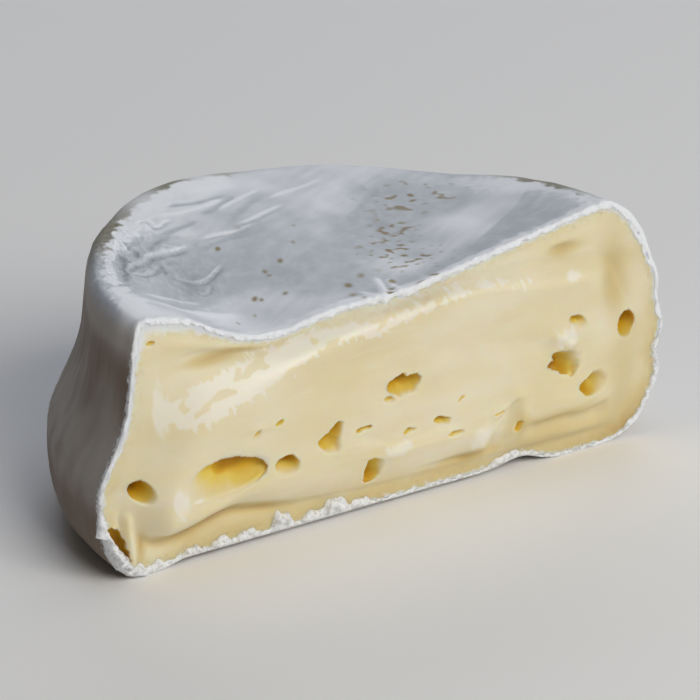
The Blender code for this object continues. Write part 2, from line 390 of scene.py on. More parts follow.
def corners(numbers, flipped=False):
    """Triangles between neighbours of a grid of corner numbers, without those that have no area."""
    a, b, c, d = numbers[:-1, :-1], numbers[:-1, 1:], numbers[1:, 1:], numbers[1:, :-1]
    faces = np.concatenate([np.stack(three, -1).reshape(-1, 3) for three in ((a, b, c), (a, c, d))])
    if flipped:
        faces = faces[:, ::-1]
    same = (faces == np.roll(faces, 1, axis=1)).any(axis=1)
    return faces[~same]


def close_poles(numbers, crest, foot):
    """Gives each end row one number over the top and one under the base: they shrink to points."""
    for row in (0, -1):
        numbers[row, :crest] = numbers[row, crest]
        numbers[row, foot:] = numbers[row, foot]


def rim_of(numbers, crest, foot):
    """Numbers round the cut, anticlockwise: the top, the left wall, the base and the right wall.

    The wall's columns run from crest to foot.
    """
    left, right = numbers[-1, crest : foot + 1], numbers[0, crest : foot + 1]
    return np.concatenate([numbers[:-1, 0], left, numbers[-2:0:-1, -1], right[:0:-1]])


def make_piece(name, points, faces, values):
    """A mesh object from points in mm about the wheel's axis, with its values as attributes."""
    used, faces = np.unique(faces, return_inverse=True)
    faces = faces.reshape(-1, 3)
    points = points[used] * MM + np.array(AXIS)
    mesh = bpy.data.meshes.new(name)
    mesh.vertices.add(len(points))
    mesh.vertices.foreach_set("co", points.astype(np.float32).ravel())
    mesh.loops.add(faces.size)
    mesh.loops.foreach_set("vertex_index", faces.astype(np.int32).ravel())
    mesh.polygons.add(len(faces))
    mesh.polygons.foreach_set("loop_start", np.arange(0, faces.size, 3, dtype=np.int32))
    mesh.update(calc_edges=True)
    for value_name, value in values.items():
        layer = mesh.attributes.new(value_name, "FLOAT", "POINT")
        layer.data.foreach_set("value", value[used].astype(np.float32))
    mesh.shade_smooth()
    piece = bpy.data.objects.new(name, mesh)
    bpy.context.scene.collection.objects.link(piece)
    edges = np.sort(faces[:, [0, 1, 1, 2, 2, 0]].reshape(-1, 2), axis=1)
    _, uses = np.unique(edges, axis=0, return_counts=True)
    print(name, len(faces), "triangles, edges not shared by two:", int((uses != 2).sum()))
    return piece


# %% [markdown]
# ## Rind
# The rind is 1 to 2 mm of mould felt and dried curd. It is made as a thin closed shell: the skin
# with relief on it, a second skin inside it, and between them the cut edge of the felt. The relief
# has low puckers, small cord-like folds where the top has shrunk near the left rim, long brushed
# lines over the back, and soft upright creases down the wall.

# %% Folds of the rind
# Folds of the top: path over (x, y), width, rise (a groove where negative), crease beside it.
TOP_FOLDS = (
    (((-26.6, 19.9), (-24.8, 19.4), (-23, 18.6), (-21.5, 18.6), (-19, 19.8), (-16.7, 21.2)),
     0.36, 0.22, -1.2),
    (((-24.6, 16.1), (-23.6, 15.4), (-22.5, 16.1), (-21.5, 17.3)), 0.34, 0.14, -0.8),
    (((-34.4, 19.1), (-32.3, 18.7), (-29.8, 20.3), (-28.4, 21.6), (-27.1, 22.8)), 0.38, 0.22, -1.2),
    (((-27.1, 22.8), (-26.8, 22), (-27.3, 20.2)), 0.3, -0.2, 0),
    (((-35.2, 19.7), (-32.5, 22.1), (-29.9, 23.4), (-27.2, 25.4), (-23.5, 26.6), (-18.3, 27.5)),
     0.56, 0.26, -1),
    (((-28.3, 27.6), (-28.6, 26.6), (-29.5, 24.9)), 0.38, -0.34, 0),
    (((-31.6, 25.9), (-34.1, 22.2), (-36, 18.5), (-37.6, 15.8)), 0.8, -0.45, 0),
    (((-28.3, 31.1), (-28.8, 29), (-29.4, 27)), 0.34, -0.24, -0.7),
    (((-23.7, 34.8), (-22.5, 35.9), (-21, 35.5), (-20.7, 33.4), (-18.8, 34.3), (-17.4, 34.2)),
     0.38, 0.14, -0.8),
    (((-26.7, 26.6), (-24.3, 28.6), (-22.3, 29.8), (-19.9, 30.6)), 0.45, -0.18, 0),
    (((-41.8, 14.9), (-39.4, 15.2), (-37, 14.8)), 0.5, -0.14, 0),
    (((-40, 18.6), (-38.2, 19.4), (-36.8, 19)), 0.45, -0.12, 0),
    (((-37.2, 11.9), (-34.5, 10.7), (-30.2, 11.9), (-25.7, 12.6)), 0.7, 0.12, 0.5),
    (((-38.5, 8.6), (-34, 7.4), (-29, 8.4), (-22, 8)), 0.9, 0.1, 0.4),
    (((1.5, 6.2), (0.1, 2.4), (-1.6, -0.6)), 0.5, 0.34, 0),
    (((3, 5), (2.2, 2.4), (1.6, 0)), 0.45, 0.24, 0),
    (((-3.4, 3.2), (-2.6, 1.4), (-2.2, -0.4)), 0.45, 0.22, 0),
)
# Lines brushed over the back of the top, in the same terms.
BRUSHED_LINES = (
    (((-21.1, 31.1), (-18.7, 31.6), (-16, 32), (-13.8, 32.5)), 0.4, -0.13, 0),
    (((-15.8, 28.1), (-13.2, 27.9), (-10.4, 27.4), (-7.6, 28), (-5.1, 28.9)), 0.42, 0.13, -0.7),
    (((-8.7, 29.1), (-5.8, 29.7), (-2, 31.3), (0.7, 32.4), (2.8, 33.3)), 0.42, 0.13, -0.7),
    (((-9.4, 30.4), (-5.7, 32.7), (-2.3, 35), (1.3, 36.8)), 0.45, -0.14, 0),
    (((-9.3, 33.8), (-5.6, 35.7), (-1, 37.8), (2.7, 39.4)), 0.36, 0.12, 0),
    (((-12.3, 33.9), (-9.5, 34.4), (-6.6, 35.9), (-3.1, 38)), 0.45, -0.13, 0),
    (((1.5, 35.9), (5.9, 36.8), (10.2, 37.5), (13.8, 38.6)), 0.4, 0.1, 0),
    (((-16.8, 38.3), (-12.8, 37.3), (-9, 37.3), (-4.5, 38.5)), 0.45, -0.13, 0),
    (((-19.5, 36.5), (-15, 35.6), (-10.5, 35.9), (-6, 37.2)), 0.4, 0.12, 0),
    (((-17.5, 25.6), (-13, 26.2), (-9, 25.6)), 0.45, -0.1, 0),
)
# Painted shade: along these edges the felt's flat patches change tone, and the right of each is
# painted darker, as the shade of a slight change of slope.
SHADED_PATCH_EDGES = (
    (((7.9, 24.7), (12.3, 27), (17.1, 30.4), (22.7, 34.8)), 1.8, 0.14),
    (((20.1, 5.7), (23.6, 7.3), (27.9, 9.7), (33, 12.5), (39.6, 17.6)), 2, 0.14),
)
print("folds of the top:", len(TOP_FOLDS), "brushed lines:", len(BRUSHED_LINES))

# %% [markdown]
# Between the folds the felt is never quite smooth. Each kind of unevenness is noise on points that
# are stretched the way it runs: along the brushing, round the rim, or up the wall.

# %% Relief of the rind
# Each noise is its strength in mm, the size of its bumps in mm, a seed and its layers.
PUCKERS, BRUSHING = (0.20, 9.0, 1, 2), (0.04, 1.6, 4)
CRUMPLE = ((0.08, (2.6, 1.8, 4), 3, 2), (0.1, 5, 7))
UPRIGHTS = ((0.14, (2.6, 16, 1), 5, 2), (0.3, (8, 30, 1), 6))
# Pleats are thin ridges along the lines where a noise is nil: their rise, width and noises.
PLEAT_RISE, PLEAT_WIDTH, PLEATS = 0.15, 0.07, (((6.0, 2.6, 1), 8, 2), ((3.0, 3.6, 1), 15, 2))
# The shrunken patch beside the left rim: its middle and half-widths.
SHRUNK = (-29, 26, 10, 14)
# The long crease of the left wall: height, sway, depth, width, and its middle and reach round it.
LONG_CREASE, CREASE_SWAY, CREASE_DEPTH, CREASE_WIDTH = 17.2, 0.5, 0.4, 0.55
CREASE_MIDDLE, CREASE_SPAN = 2.75, 0.32
# Radii at which the top and the wall are laid flat.
TOP_ROUND, WALL_ROUND = 30, 48


def brushed(points):
    """Points turned and stretched so that noise on them runs along the brushed direction."""
    x, y, z = np.moveaxis(points, -1, 0)
    return np.stack([(x * 0.90 + y * 0.43) / 7, y * 0.90 - x * 0.43, z / 7], axis=-1)


def unrolled(angle, radius, across):
    """Points of the skin laid flat: the way round the wheel at a radius, and a measure across it."""
    return np.stack([angle * radius + 0 * across, across, 0 * across], axis=-1)


def rind_relief(points, facing, angle):
    """How far the rind stands out, in mm, and the part of that which the folds give.

    The puckers are everywhere; the top has crumple, pleats, brushing and folds, which fade out on
    the wall; the wall has upright waves and one long crease.
    """
    x, y, z = np.moveaxis(points, -1, 0)
    up, down = smooth_step(0.6, 0.95, facing[..., 2]), smooth_step(-0.6, -0.95, facing[..., 2])
    along_rim = unrolled(angle, TOP_ROUND, np.hypot(x, y))
    pleats = sum(hill(noise(along_rim, *form), 0, PLEAT_WIDTH) for form in PLEATS)
    crumple = (uneven(points, *CRUMPLE) + PLEAT_RISE * pleats) * patch(x, y, *SHRUNK)
    brush = uneven(brushed(points), BRUSHING) * smooth_step(-30, 10, x + y)
    folds = up * sum(fold(path, x, y, *form) for path, *form in TOP_FOLDS + BRUSHED_LINES)
    upright = uneven(unrolled(angle, WALL_ROUND, z), *UPRIGHTS)
    line = LONG_CREASE + CREASE_SWAY * np.sin(6 * angle)
    crease = -CREASE_DEPTH * hill(z, line, CREASE_WIDTH) * hill(angle, CREASE_MIDDLE, CREASE_SPAN)
    on_top, on_wall = up * (crumple + brush) + folds, (1 - up - down) * (upright + crease)
    return uneven(points, PUCKERS) * (1 - 0.8 * down) + on_top + on_wall, folds


print("ten mm along x, as brushed:", brushed(np.array([10.0, 0, 0])).round(2))

# %% [markdown]
# Along the cut the felt is ragged: it tears rather than slices, so it stands up in a cottony white
# lip, and crumbs of it are dragged on to the paste. At the bottom left a strip has come loose and
# curled.

# %% Cut edge of the rind
RIND_THICKNESS, BEHIND_CUT, EDGE_STEPS = 1.5, 1.5, 10
EDGE_WIDTH, NARROWEST, EDGE_RISE = 0.78, 0.46, 0.26
# Noises of the edge: its width everywhere, on the left wall, at the lower left and on the lumps.
RAGGED, LEFT_RAGGED = ((0.58, 1.3, 8, 3), (0.25, 4, 9)), (0.7, 2.2, 16, 3)
LOW_WIDER, LOW_RAGGED, LUMPS_RAGGED = 0.25, (0.38, 2.7, 13, 2), (0.14, 1.6, 14, 2)
LEFT_WALL_THINNER = 0.4
# Tufts of the edge, tufts of a lump, which grow with its thickness, and the lump's own rise.
TUFTS, LUMP_TUFTS, LUMP_RISE = (0.32, 0.9, 10, 2), (0.7, 1.2, 11, 2), 0.65
# Places along the edge where it is wider: x, z, half-length, extra width, extra thickness.
LUMPS = (
    (-20.1, 1.6, 1.8, 2.4, 1.3),
    (-10.3, 1.2, 2.2, 2.1, 1.3),
    (-14.5, 1, 1.8, 0.8, 0.6),
    (-5.5, 1, 1.6, 0.9, 0.6),
    (-26.6, 1, 1.7, 0.8, 0.6),
    (-31.5, 1, 1.6, 0.9, 0.6),
    (-36.5, 0.6, 1.8, 0.5, 0.4),
    (-43, 0.4, 1.6, 0.8, 0.4),
    (-45.8, 0.4, 1.3, 1.2, 1.2),
    (-48.4, 1.6, 1.5, 1.4, 2.2),
    (-50.4, 4, 1.6, 1.3, 2.6),
    (-51.6, 6.6, 1.4, 0.8, 1.9),
    (-52.4, 9.4, 1.4, 0.9, 0.7),
    (44, 38, 6, 0.5, 0),
    (48.8, 33, 5, 0.6, 0),
    (51, 12, 4, 0.6, 0.3),
    (47, 5, 4, 0.7, 0.3),
    (22, 1.8, 3, 0.8, 0.4),
    (-40, 39.5, 3, 0.3, 0),
    (-1.4, 34.5, 1, 0.7, 0.5),
    (3.6, 34.8, 1.4, 0.5, 0.3),
)


def edge_band(rim, facing, raised):
    """Points of the cut edge, from the rim inwards, as an array (rim points, steps, 3).

    Each row runs inwards by a ragged width while it rises out of the cut as a half sine, tufted
    with noise, and then dives behind the paste.
    """
    x, z = rim[:, None, 0], rim[:, None, 2]
    lumps = [hill((np.hypot(x - px, z - pz) / half) ** 3, 0, 1) for px, pz, half, _, _ in LUMPS]
    wide = sum(lump * form[3] for lump, form in zip(lumps, LUMPS))
    thick = sum(lump * form[4] for lump, form in zip(lumps, LUMPS))
    flat = rim[:, None] * (1, 0, 1)
    low = smooth_step(5, 2, z) * smooth_step(0, -8, x)
    wide = wide * (1 + uneven(flat, LUMPS_RAGGED)) + low * (LOW_WIDER + uneven(flat, LOW_RAGGED))
    width = EDGE_WIDTH + uneven(flat, *RAGGED) + wide
    on_left = smooth_step(-38, -44, x) * smooth_step(8, 14, z) * smooth_step(38, 34, z)
    width = width * (1 - LEFT_WALL_THINNER * on_left) + on_left * uneven(flat, LEFT_RAGGED)
    step = np.linspace(0, 1, EDGE_STEPS + 1)[None, 1:]
    width = np.maximum(width, NARROWEST) + np.maximum(raised, 0)[:, None]
    place = flat - facing[:, None] * (width * step)[..., None]
    tufts = uneven(place, TUFTS) + thick * uneven(place, LUMP_TUFTS)
    out = (EDGE_RISE + LUMP_RISE * thick + tufts) * np.sin(math.pi * step) ** 0.9
    place[..., 1] = -out + BEHIND_CUT * smooth_step(0.88, 1.0, step)
    return place


print("lumps along the edge:", len(LUMPS))

# %% [markdown]
# The skin's own grid is finest where it is seen closest: the slices crowd together where the folds
# of the top are. Beside the cut the felt rises a little towards its torn lip, and at the ends of
# the cut it comes away in flakes.

# %% Outer and inner skin
TOP_STEPS, WALL_STEPS, BASE_STEPS, ROUND_STEPS = 114, 76, 8, 400
LAST_WALL = TOP_STEPS + WALL_STEPS
# More slices where the folds are: how much more, round which angle, and its spread, in degrees.
CROWDED, CROWDED_AT = 1.1, (140, 26)
# The lip's rise, width and tufts; the flakes' noise, reach, and rise in general and low on the left.
LIP_RISE, LIP_WIDTH, LIP_TUFTS = 0.26, 1.5, (0.16, 1.3, 12, 3)
FLAKES, FLAKES_REACH, FLAKES_RISE, LOW_LEFT_RISE = (1, 2.4, 17, 3), 0.9, 0.25, 2.4
steps_out = np.linspace(0, 1, TOP_STEPS + 1)[:-1]
tilts = np.linspace(1, -1, WALL_STEPS + 1) * math.pi / 2
steps_back = np.linspace(1, 0, BASE_STEPS + 1)[1:]
even = np.linspace(0, math.pi, 721)
crowding = np.cumsum(1 + CROWDED * hill(np.degrees(even), *CROWDED_AT))
angles = np.interp(np.linspace(crowding[0], crowding[-1], ROUND_STEPS + 1), crowding, even)
smooth, facing = skin(angles, steps_out, tilts, steps_back)
relief, folds = rind_relief(smooth, facing, angles[:, None])
lip = (LIP_RISE + uneven(smooth, LIP_TUFTS)) * hill(smooth[..., 1], 0, LIP_WIDTH)
raised = relief + lip * smooth_step(-0.3, 0.3, facing[..., 2])
flakes = np.maximum(uneven(smooth, FLAKES), 0) * hill(smooth[..., 1], 0, FLAKES_REACH)
flakes = flakes * smooth_step(0.3, 0.8, np.abs(facing[..., 0]))
low_left = smooth_step(14, 5, smooth[..., 2]) * smooth_step(-36, -44, smooth[..., 0])
raised = raised + flakes * (FLAKES_RISE + LOW_LEFT_RISE * low_left)
outer = smooth + facing * raised[..., None]
inner = smooth - facing * RIND_THICKNESS
inner[..., 1] = np.maximum(inner[..., 1], BEHIND_CUT)
outer[..., 2], inner[..., 2] = np.maximum(outer[..., 2], 0), np.maximum(inner[..., 2], 0)
print("relief of the rind, mm:", round(float(relief.min()), 2), "to", round(float(relief.max()), 2))

# %% [markdown]
# The two end rows shrink to a point over the top and under the base, which closes them as poles.
# The inner skin takes its outermost numbers from the last row of the cut edge, so the shell closes
# without any stitching.

# %% Join the shell
skin_numbers = np.arange(smooth[..., 0].size).reshape(smooth.shape[:2])
close_poles(skin_numbers, TOP_STEPS, LAST_WALL)
rim = rim_of(skin_numbers, TOP_STEPS, LAST_WALL)
band = edge_band(outer.reshape(-1, 3)[rim], facing.reshape(-1, 3)[rim], raised.ravel()[rim])
band[..., 2] = np.maximum(band[..., 2], 0)
band_numbers = 2 * skin_numbers.size + np.arange(band[..., 0].size).reshape(band.shape[:2])
band_grid = np.concatenate([rim[:, None], band_numbers], axis=1)
band_grid = np.concatenate([band_grid, band_grid[:1]])
behind = skin_numbers.size + np.arange(skin_numbers.size)
behind[rim] = band_numbers[:, -1]
rind_points = np.concatenate([outer.reshape(-1, 3), inner.reshape(-1, 3), band.reshape(-1, 3)])
rind_faces = np.concatenate(
    [
        corners(skin_numbers),
        corners(thinned(behind[skin_numbers], 4), flipped=True),
        corners(band_grid, flipped=True),
    ]
)
print("corners of the rind:", len(rind_points), "round the cut:", len(rim))

# %% [markdown]
# What belongs to a place on the rind is kept with the mesh as numbers from 0 to 1, so the material
# can colour by them and they stay put from every side: how thick the bloom lies, together with
# painted light and shade, how far the wall has aged, together with painted shade, the olive fringe of
# the far rim, the tan specks, and where the cut has torn the felt.

# %% Specks
# Tan specks where the bloom is thin: x, y, length, breadth, turn in degrees, strength.
SPECKS = (
    (-15, 24.7, 0.6, 0.4, 60, 0.8),
    (-8.5, 17.2, 0.6, 0.4, 50, 0.8),
    (-12, 16.2, 0.6, 0.4, 70, 0.7),
    (-12, 15, 0.5, 0.4, 20, 0.6),
    (-17.5, 10.8, 0.7, 0.4, 45, 0.8),
    (-16.8, 10, 0.5, 0.35, 60, 0.7),
    (-13, 9.2, 0.6, 0.4, 30, 0.7),
    (-20, 7, 0.7, 0.35, 60, 0.5),
    (-24, 5.5, 0.6, 0.4, 80, 0.5),
    (-3.5, 21, 0.8, 0.35, 60, 0.6),
    (0, 26, 0.6, 0.4, 30, 0.5),
    (-9, 28, 0.9, 0.6, 30, 0.4),
    (-3.6, 6, 0.8, 0.6, 60, 0.8),
    (-5, 2.8, 0.9, 0.6, 20, 0.6),
    (-4.2, 0.9, 0.6, 0.4, 60, 0.6),
    (0, 7.8, 0.9, 0.6, 40, 0.6),
    (0.2, -0.2, 0.6, 0.9, 20, 0.9),
    (1.2, 1.5, 0.5, 0.5, 60, 0.8),
    (3, 3.8, 0.8, 0.5, 60, 0.9),
    (8.7, 0.8, 0.5, 0.9, 10, 0.8),
    (5.8, 0.2, 0.8, 0.5, 10, 0.6),
)
# Fields of specks: middle (x, y), half-width, half-depth, size of a speck, strength.
SPECK_FIELDS = (
    (10, 11, 7, 9, 1.2, 0.85),
    (14, 18.5, 4.5, 5.5, 1.4, 0.8),
    (3, 14, 9, 9, 4.5, 0.3),
    (23, 27, 11, 7.5, 1.9, 0.72),
    (-14, 14, 9, 8, 4, 0.25),
)
SPECK_SOFTNESS, FIELD_SEED = 1.25, 21


def speck_marks(points):
    """How strongly a place is speckled, 0 to 1: single specks, and fields of spotted noise."""
    x, y = points[..., 0], points[..., 1]
    marks = np.zeros(x.shape)
    for px, py, length, breadth, turn, strength in SPECKS:
        cos, sin = math.cos(math.radians(turn)), math.sin(math.radians(turn))
        along, across = (x - px) * cos + (y - py) * sin, (y - py) * cos - (x - px) * sin
        speck = hill(np.hypot(along / length, across / breadth), 0, SPECK_SOFTNESS)
        marks = np.maximum(marks, strength * speck)
    for *place, size, strength in SPECK_FIELDS:
        dots = noise(points, (size, size * 0.7, size), FIELD_SEED + int(place[0]))
        marks = np.maximum(marks, strength * patch(x, y, *place) * smooth_step(0.12, 0.42, dots))
    return marks


specks = speck_marks(smooth)
print("share of the rind that is speckled:", round(float((specks > 0.3).mean()), 3))

# %% [markdown]
# The bloom is thickest on the crest of the slumped side and on the lip beside the cut, and the white
# crest is also partly painted light. The same mark carries painted light and shade: lighter on the
# relief and on fold ridges, darker in creases and to the right of each patch edge. Noise breaks up
# every border, because mould never ends in a clean line.

# %% Bloom
# Places on the top painted lighter or darker, partly as thicker or thinner bloom and partly as
# painted light and shade: x, y, half-widths, change.
TONE_PLACES = (
    (12.6, 8.3, 8, 6, 0.3),
    (30, 13.5, 9, 6, 0.32),
    (-22, 10.5, 8, 5, 0.26),
    (-14.5, 32, 3.5, 3, -0.12),
    (-29, 21, 8.5, 8, -0.32),
    (-40, 0, 6, 7, 0.3),
    (-24, 3, 15, 8, 0.28),
)
# The wrinkled patch beside the left rim: its middle and half-widths.
WRINKLED = (-29, 26, 11, 14)
# Noises of the bloom: its wispy borders, the torn lip, blotches, brushing, wrinkles, streaks.
WISPS, LIP_TEARS = (1.4, (1.3, 1.3, 2.6), 51, 3), (0.8, 2.2, 52, 2)
BLOTCHES, BRUSH_TONE = (0.06, 8.0, 53, 2), (0.05, 1.2, 54, 2)
WRINKLES, STREAKS = (0.16, (2.2, 1.1, 2.2), 58, 2), (0.24, 1.6, 55, 4)
# How much each part adds, and the most that the tones and the painted light and shade of the
# relief may change.
ON_CREST, ON_RIGHT_CREST, ON_LIP, FOLD_SHADING = 0.55, 0.3, 0.45, 1.3
TONE_RANGE, RELIEF_SHADING_RANGE = (-0.3, 0.3), (-0.34, 0.36)


def bloom_mark(points, facing, angle, relief, folds):
    """Thickness of the bloom, with painted light and shade: 0.5 is plain, 1 is white, 0 is grey.

    The top adds tones, wrinkles, the relief as painted light and shade, crest and lip; the wall has
    only upright streaks.
    """
    x, y, z = np.moveaxis(points, -1, 0)
    top, degrees = smooth_step(0.2, 0.8, facing[..., 2]), np.degrees(angle)
    beyond = np.hypot(x, y) - leaning(CREST_RADIUS, angle) + uneven(points, WISPS)
    crest = hill(beyond, -0.9, 1.9) * smooth_step(88, 112, degrees)
    right_crest = hill(beyond, -1.5, 2.6) * smooth_step(60, 30, degrees)
    lip = smooth_step(2.4, 0.6, y + uneven(points, LIP_TEARS))
    lip = lip * smooth_step(-0.2, 0.4, facing[..., 2])
    tone = uneven(points, BLOTCHES) + uneven(brushed(points), BRUSH_TONE)
    # Painted light: lighter towards the back, where the top rises to the crest.
    tone = tone + 0.28 * smooth_step(20, 42, y) * smooth_step(40, 10, x)
    tone = tone + 0.08 * smooth_step(20, 38, x) + patches(x, y, TONE_PLACES)
    # Painted shade: darker to the right of each patch edge.
    for path, width, strength in SHADED_PATCH_EDGES:
        away, share = along_path(np.array(path), x, y)
        left = smooth_step(-0.25 * width, 0.15 * width, away)
        step = left * hill(away, 0, 3 * width) - (1 - left) * hill(away, 0, 4 * width)
        tone = tone + strength * faded(share) * step
    # Painted light and shade of the relief: lighter on ridges and fold crests, darker in creases.
    on_top = np.clip(tone, *TONE_RANGE) + np.clip(relief + FOLD_SHADING * folds, *RELIEF_SHADING_RANGE)
    on_top = on_top + uneven(points, WRINKLES) * patch(x, y, *WRINKLED)
    # The white crest is thick bloom and partly painted light.
    on_top = on_top + ON_CREST * crest + ON_RIGHT_CREST * right_crest + ON_LIP * lip
    on_wall = uneven(unrolled(angle, WALL_ROUND, z / 7), STREAKS) + 0.15 * crest
    return np.clip(0.5 + top * on_top + (1 - top) * on_wall, 0, 1)


print("places with a tone of their own:", len(TONE_PLACES))

# %% [markdown]
# The wall is darker and browner from the foot upwards and most on the left: partly it has aged, and
# partly this is painted shade. On the outside of the far rim the colour turns olive in places. Beside
# the cut, the felt of the wall is torn.

# %% Marks of the rind
# Olive places on the outside of the rim: angle in degrees, spread, strength.
OLIVE_PLACES = ((130, 16, 1), (104, 6, 0.9), (90, 5, 0.6), (21, 14, 1))
# Noises of the borders: the fringe's upper and lower one, and the age's by height and by angle.
RIM_WISPS, FRINGE_WISPS = (1.5, (1.8, 1.8, 4.0), 59, 3), (1.6, (2.5, 2.5, 4.0), 60, 3)
AGE_WISPS, TURN_WISPS = (2.5, (4.0, 4.0, 9.0), 56, 2), (12, 9.0, 65, 2)
# How aged the wall is everywhere; painted shade on the left; aged patches; painted shade at the
# foot and high on the left.
AGED, LEFT_SHADE, AGE_PATCHES, FOOT_SHADE = 0.30, 0.38, (0.22, (7.0, 7.0, 10.0), 63, 2), 0.44
UPPER_SHADE, TORN_REACH = 0.85, 2.6


def place_marks(points, facing, angle, relief, folds):
    """Marks of the rind, each 0 to 1: specks, fringe, age with painted shade, bloom with painted light
    and shade, and how torn it is by the cut.
    """
    x, y, z = np.moveaxis(points, -1, 0)
    wall = smooth_step(0.95, 0.55, facing[..., 2])
    beyond = np.hypot(x, y) - leaning(CREST_RADIUS, angle) + uneven(points, RIM_WISPS)
    below = rim_height(angle) - z + uneven(points, FRINGE_WISPS)
    olive = sum(share * hill(np.degrees(angle), *place) for *place, share in OLIVE_PLACES)
    ragged = z + uneven(points, AGE_WISPS)
    left = smooth_step(100, 150, np.degrees(angle) + uneven(points, TURN_WISPS))
    patchy = uneven(points, AGE_PATCHES) * (1 - 0.5 * left)
    # Painted shade: darker and browner at the foot, and high on the left wall.
    ends = np.maximum(smooth_step(21, 4, ragged), UPPER_SHADE * smooth_step(15, 35, ragged) * left)
    return {
        "specks": specks * smooth_step(0.3, 0.8, facing[..., 2]),
        "fringe": olive * smooth_step(-1.3, 0.7, beyond) * smooth_step(5.5, 0.5, below),
        # Aged everywhere and in patches, with painted shade on the left and at the ends.
        "age_and_shade": wall * (AGED + LEFT_SHADE * left + patchy + FOOT_SHADE * ends),
        "bloom": bloom_mark(points, facing, angle, relief, folds),
        "torn": wall * np.clip(1 - y / TORN_REACH, 0, 1),
    }


marks = place_marks(smooth, facing, angles[:, None], relief, folds)
hidden = len(rind_points) - skin_numbers.size
rind_values = {
    name: np.concatenate([value.ravel(), np.zeros(hidden)]) for name, value in marks.items()
}
# The band of cut felt is thick and white, and takes little of the wall's age and painted shade. It is
# torn more than the wall beside it, so there the mark goes on from 1 to 2.
BAND_BLOOM, BAND_BLOTCHES, BAND_AGED = 0.94, (0.3, 1.0, 57, 2), 0.12
torn_lip = 0.35 + 0.65 * smooth_step(0.5, -0.2, facing.reshape(-1, 3)[rim, 2])
at_band = {
    "bloom": BAND_BLOOM + uneven(band, BAND_BLOTCHES),
    "age_and_shade": np.repeat(BAND_AGED * marks["age_and_shade"].ravel()[rim], EDGE_STEPS),
    "torn": np.repeat(1 + torn_lip, EDGE_STEPS),
}
for name, value in at_band.items():
    rind_values[name][band_numbers.ravel()] = value.ravel()
rind = make_piece("rind", rind_points, rind_faces, rind_values)

# %% [markdown]
# ## Paste
# The paste is the soft inside. Its cut face has crept out as a pillow that is flush only along the
# rind. It could be sculpted, but a height over the cut is enough for the pillow and its folds. The
# pillow is the product of four eased rises, one from each side, and each side's line is a smooth
# curve through a few measured places. Only the eyes need more, because they undercut.

# %% Pillow of paste
# Lines over the face. Along x: where the pillow starts under the top, its shoulder, its foot.
TOP_LINE = (
    (-47, 32.4), (-40, 33), (-34, 32.6), (-29, 31.9), (-24, 31.5), (-18, 32), (-8, 33.6),
    (5, 34.6), (25, 35), (40, 33.4),
)
SHOULDER = (
    (-41, 23), (-38, 22.4), (-32, 23.6), (-26, 26), (-22, 27.6), (-12, 30), (8, 32.4), (20, 32),
    (30, 30),
)
FOOT_LINE = (
    (-47, 6.6), (-44, 5.8), (-39, 5.9), (-34, 7), (-30, 7.4), (-26, 6.6), (-18, 4.8), (-5, 3.6),
    (15, 3), (40, 2.4),
)
PILLOW_RISE = ((-46, 3.2), (-38, 3.6), (-20, 3.4), (0, 3.2), (20, 3.1), (32, 3.2), (45, 2.6))
BELLY = ((-46, 3.4), (-36, 4.2), (-28, 5.6), (-10, 7), (20, 7.5), (40, 8.5))
TOP_POWER = ((-40, 1.3), (-20, 1.5), (-5, 2.1), (30, 2.1))
FOOT_POWERS = ((-40, 3.4), (-30, 2.6), (-18, 1.8), (40, 1.6))
# Along z: where it starts at the left and at the right, and how far it takes to rise there.
LEFT_LINE = ((2, -46.2), (5, -46), (9, -47.6), (14, -51), (20, -48.8), (25, -47.5), (31, -46))
RIGHT_LINE = ((5, 45.5), (10, 47.5), (18, 48), (24, 46.5), (31, 43), (35, 38))
LEFT_REACH = ((4, 4.5), (9, 6), (15, 11), (24, 13), (34, 12))
RIGHT_REACH, RIGHT_POWER = 8.5, 1.8
# Swells and hollows: place (x, z), half-width, half-height, rise.
SWELLS = (
    (0, 26.5, 26, 3.4, -0.7),
    (30.2, 22.3, 1.7, 1.1, 1.1),
    (32.3, 20.8, 1.5, 1.1, 0.9),
    (-2.1, 10.9, 2.6, 1.9, 0.45),
    (15.8, 8.4, 3.2, 3.6, 0.9),
    (12.5, 5.2, 5, 0.8, -0.8),
    (31, 11.6, 5, 2.2, 0.7),
    (34.5, 5.4, 9, 1.8, 0.8),
    (32.6, 31.4, 7, 1.8, 0.4),
    (42.2, 28.4, 3, 5, -1.2),
    (33, 35.2, 2.8, 0.9, -1),
    (-41, 12, 3.4, 3.4, 0.5),
    (-36, 9.5, 8, 1.6, 0.5),
)
print("swells and hollows of the face:", len(SWELLS))

# %% [markdown]
# The paste has run since it was cut, so it carries soft folds and grooves, one deep crease under
# the overhang at the lower left, and a few ledges where one tongue of it lies over another.

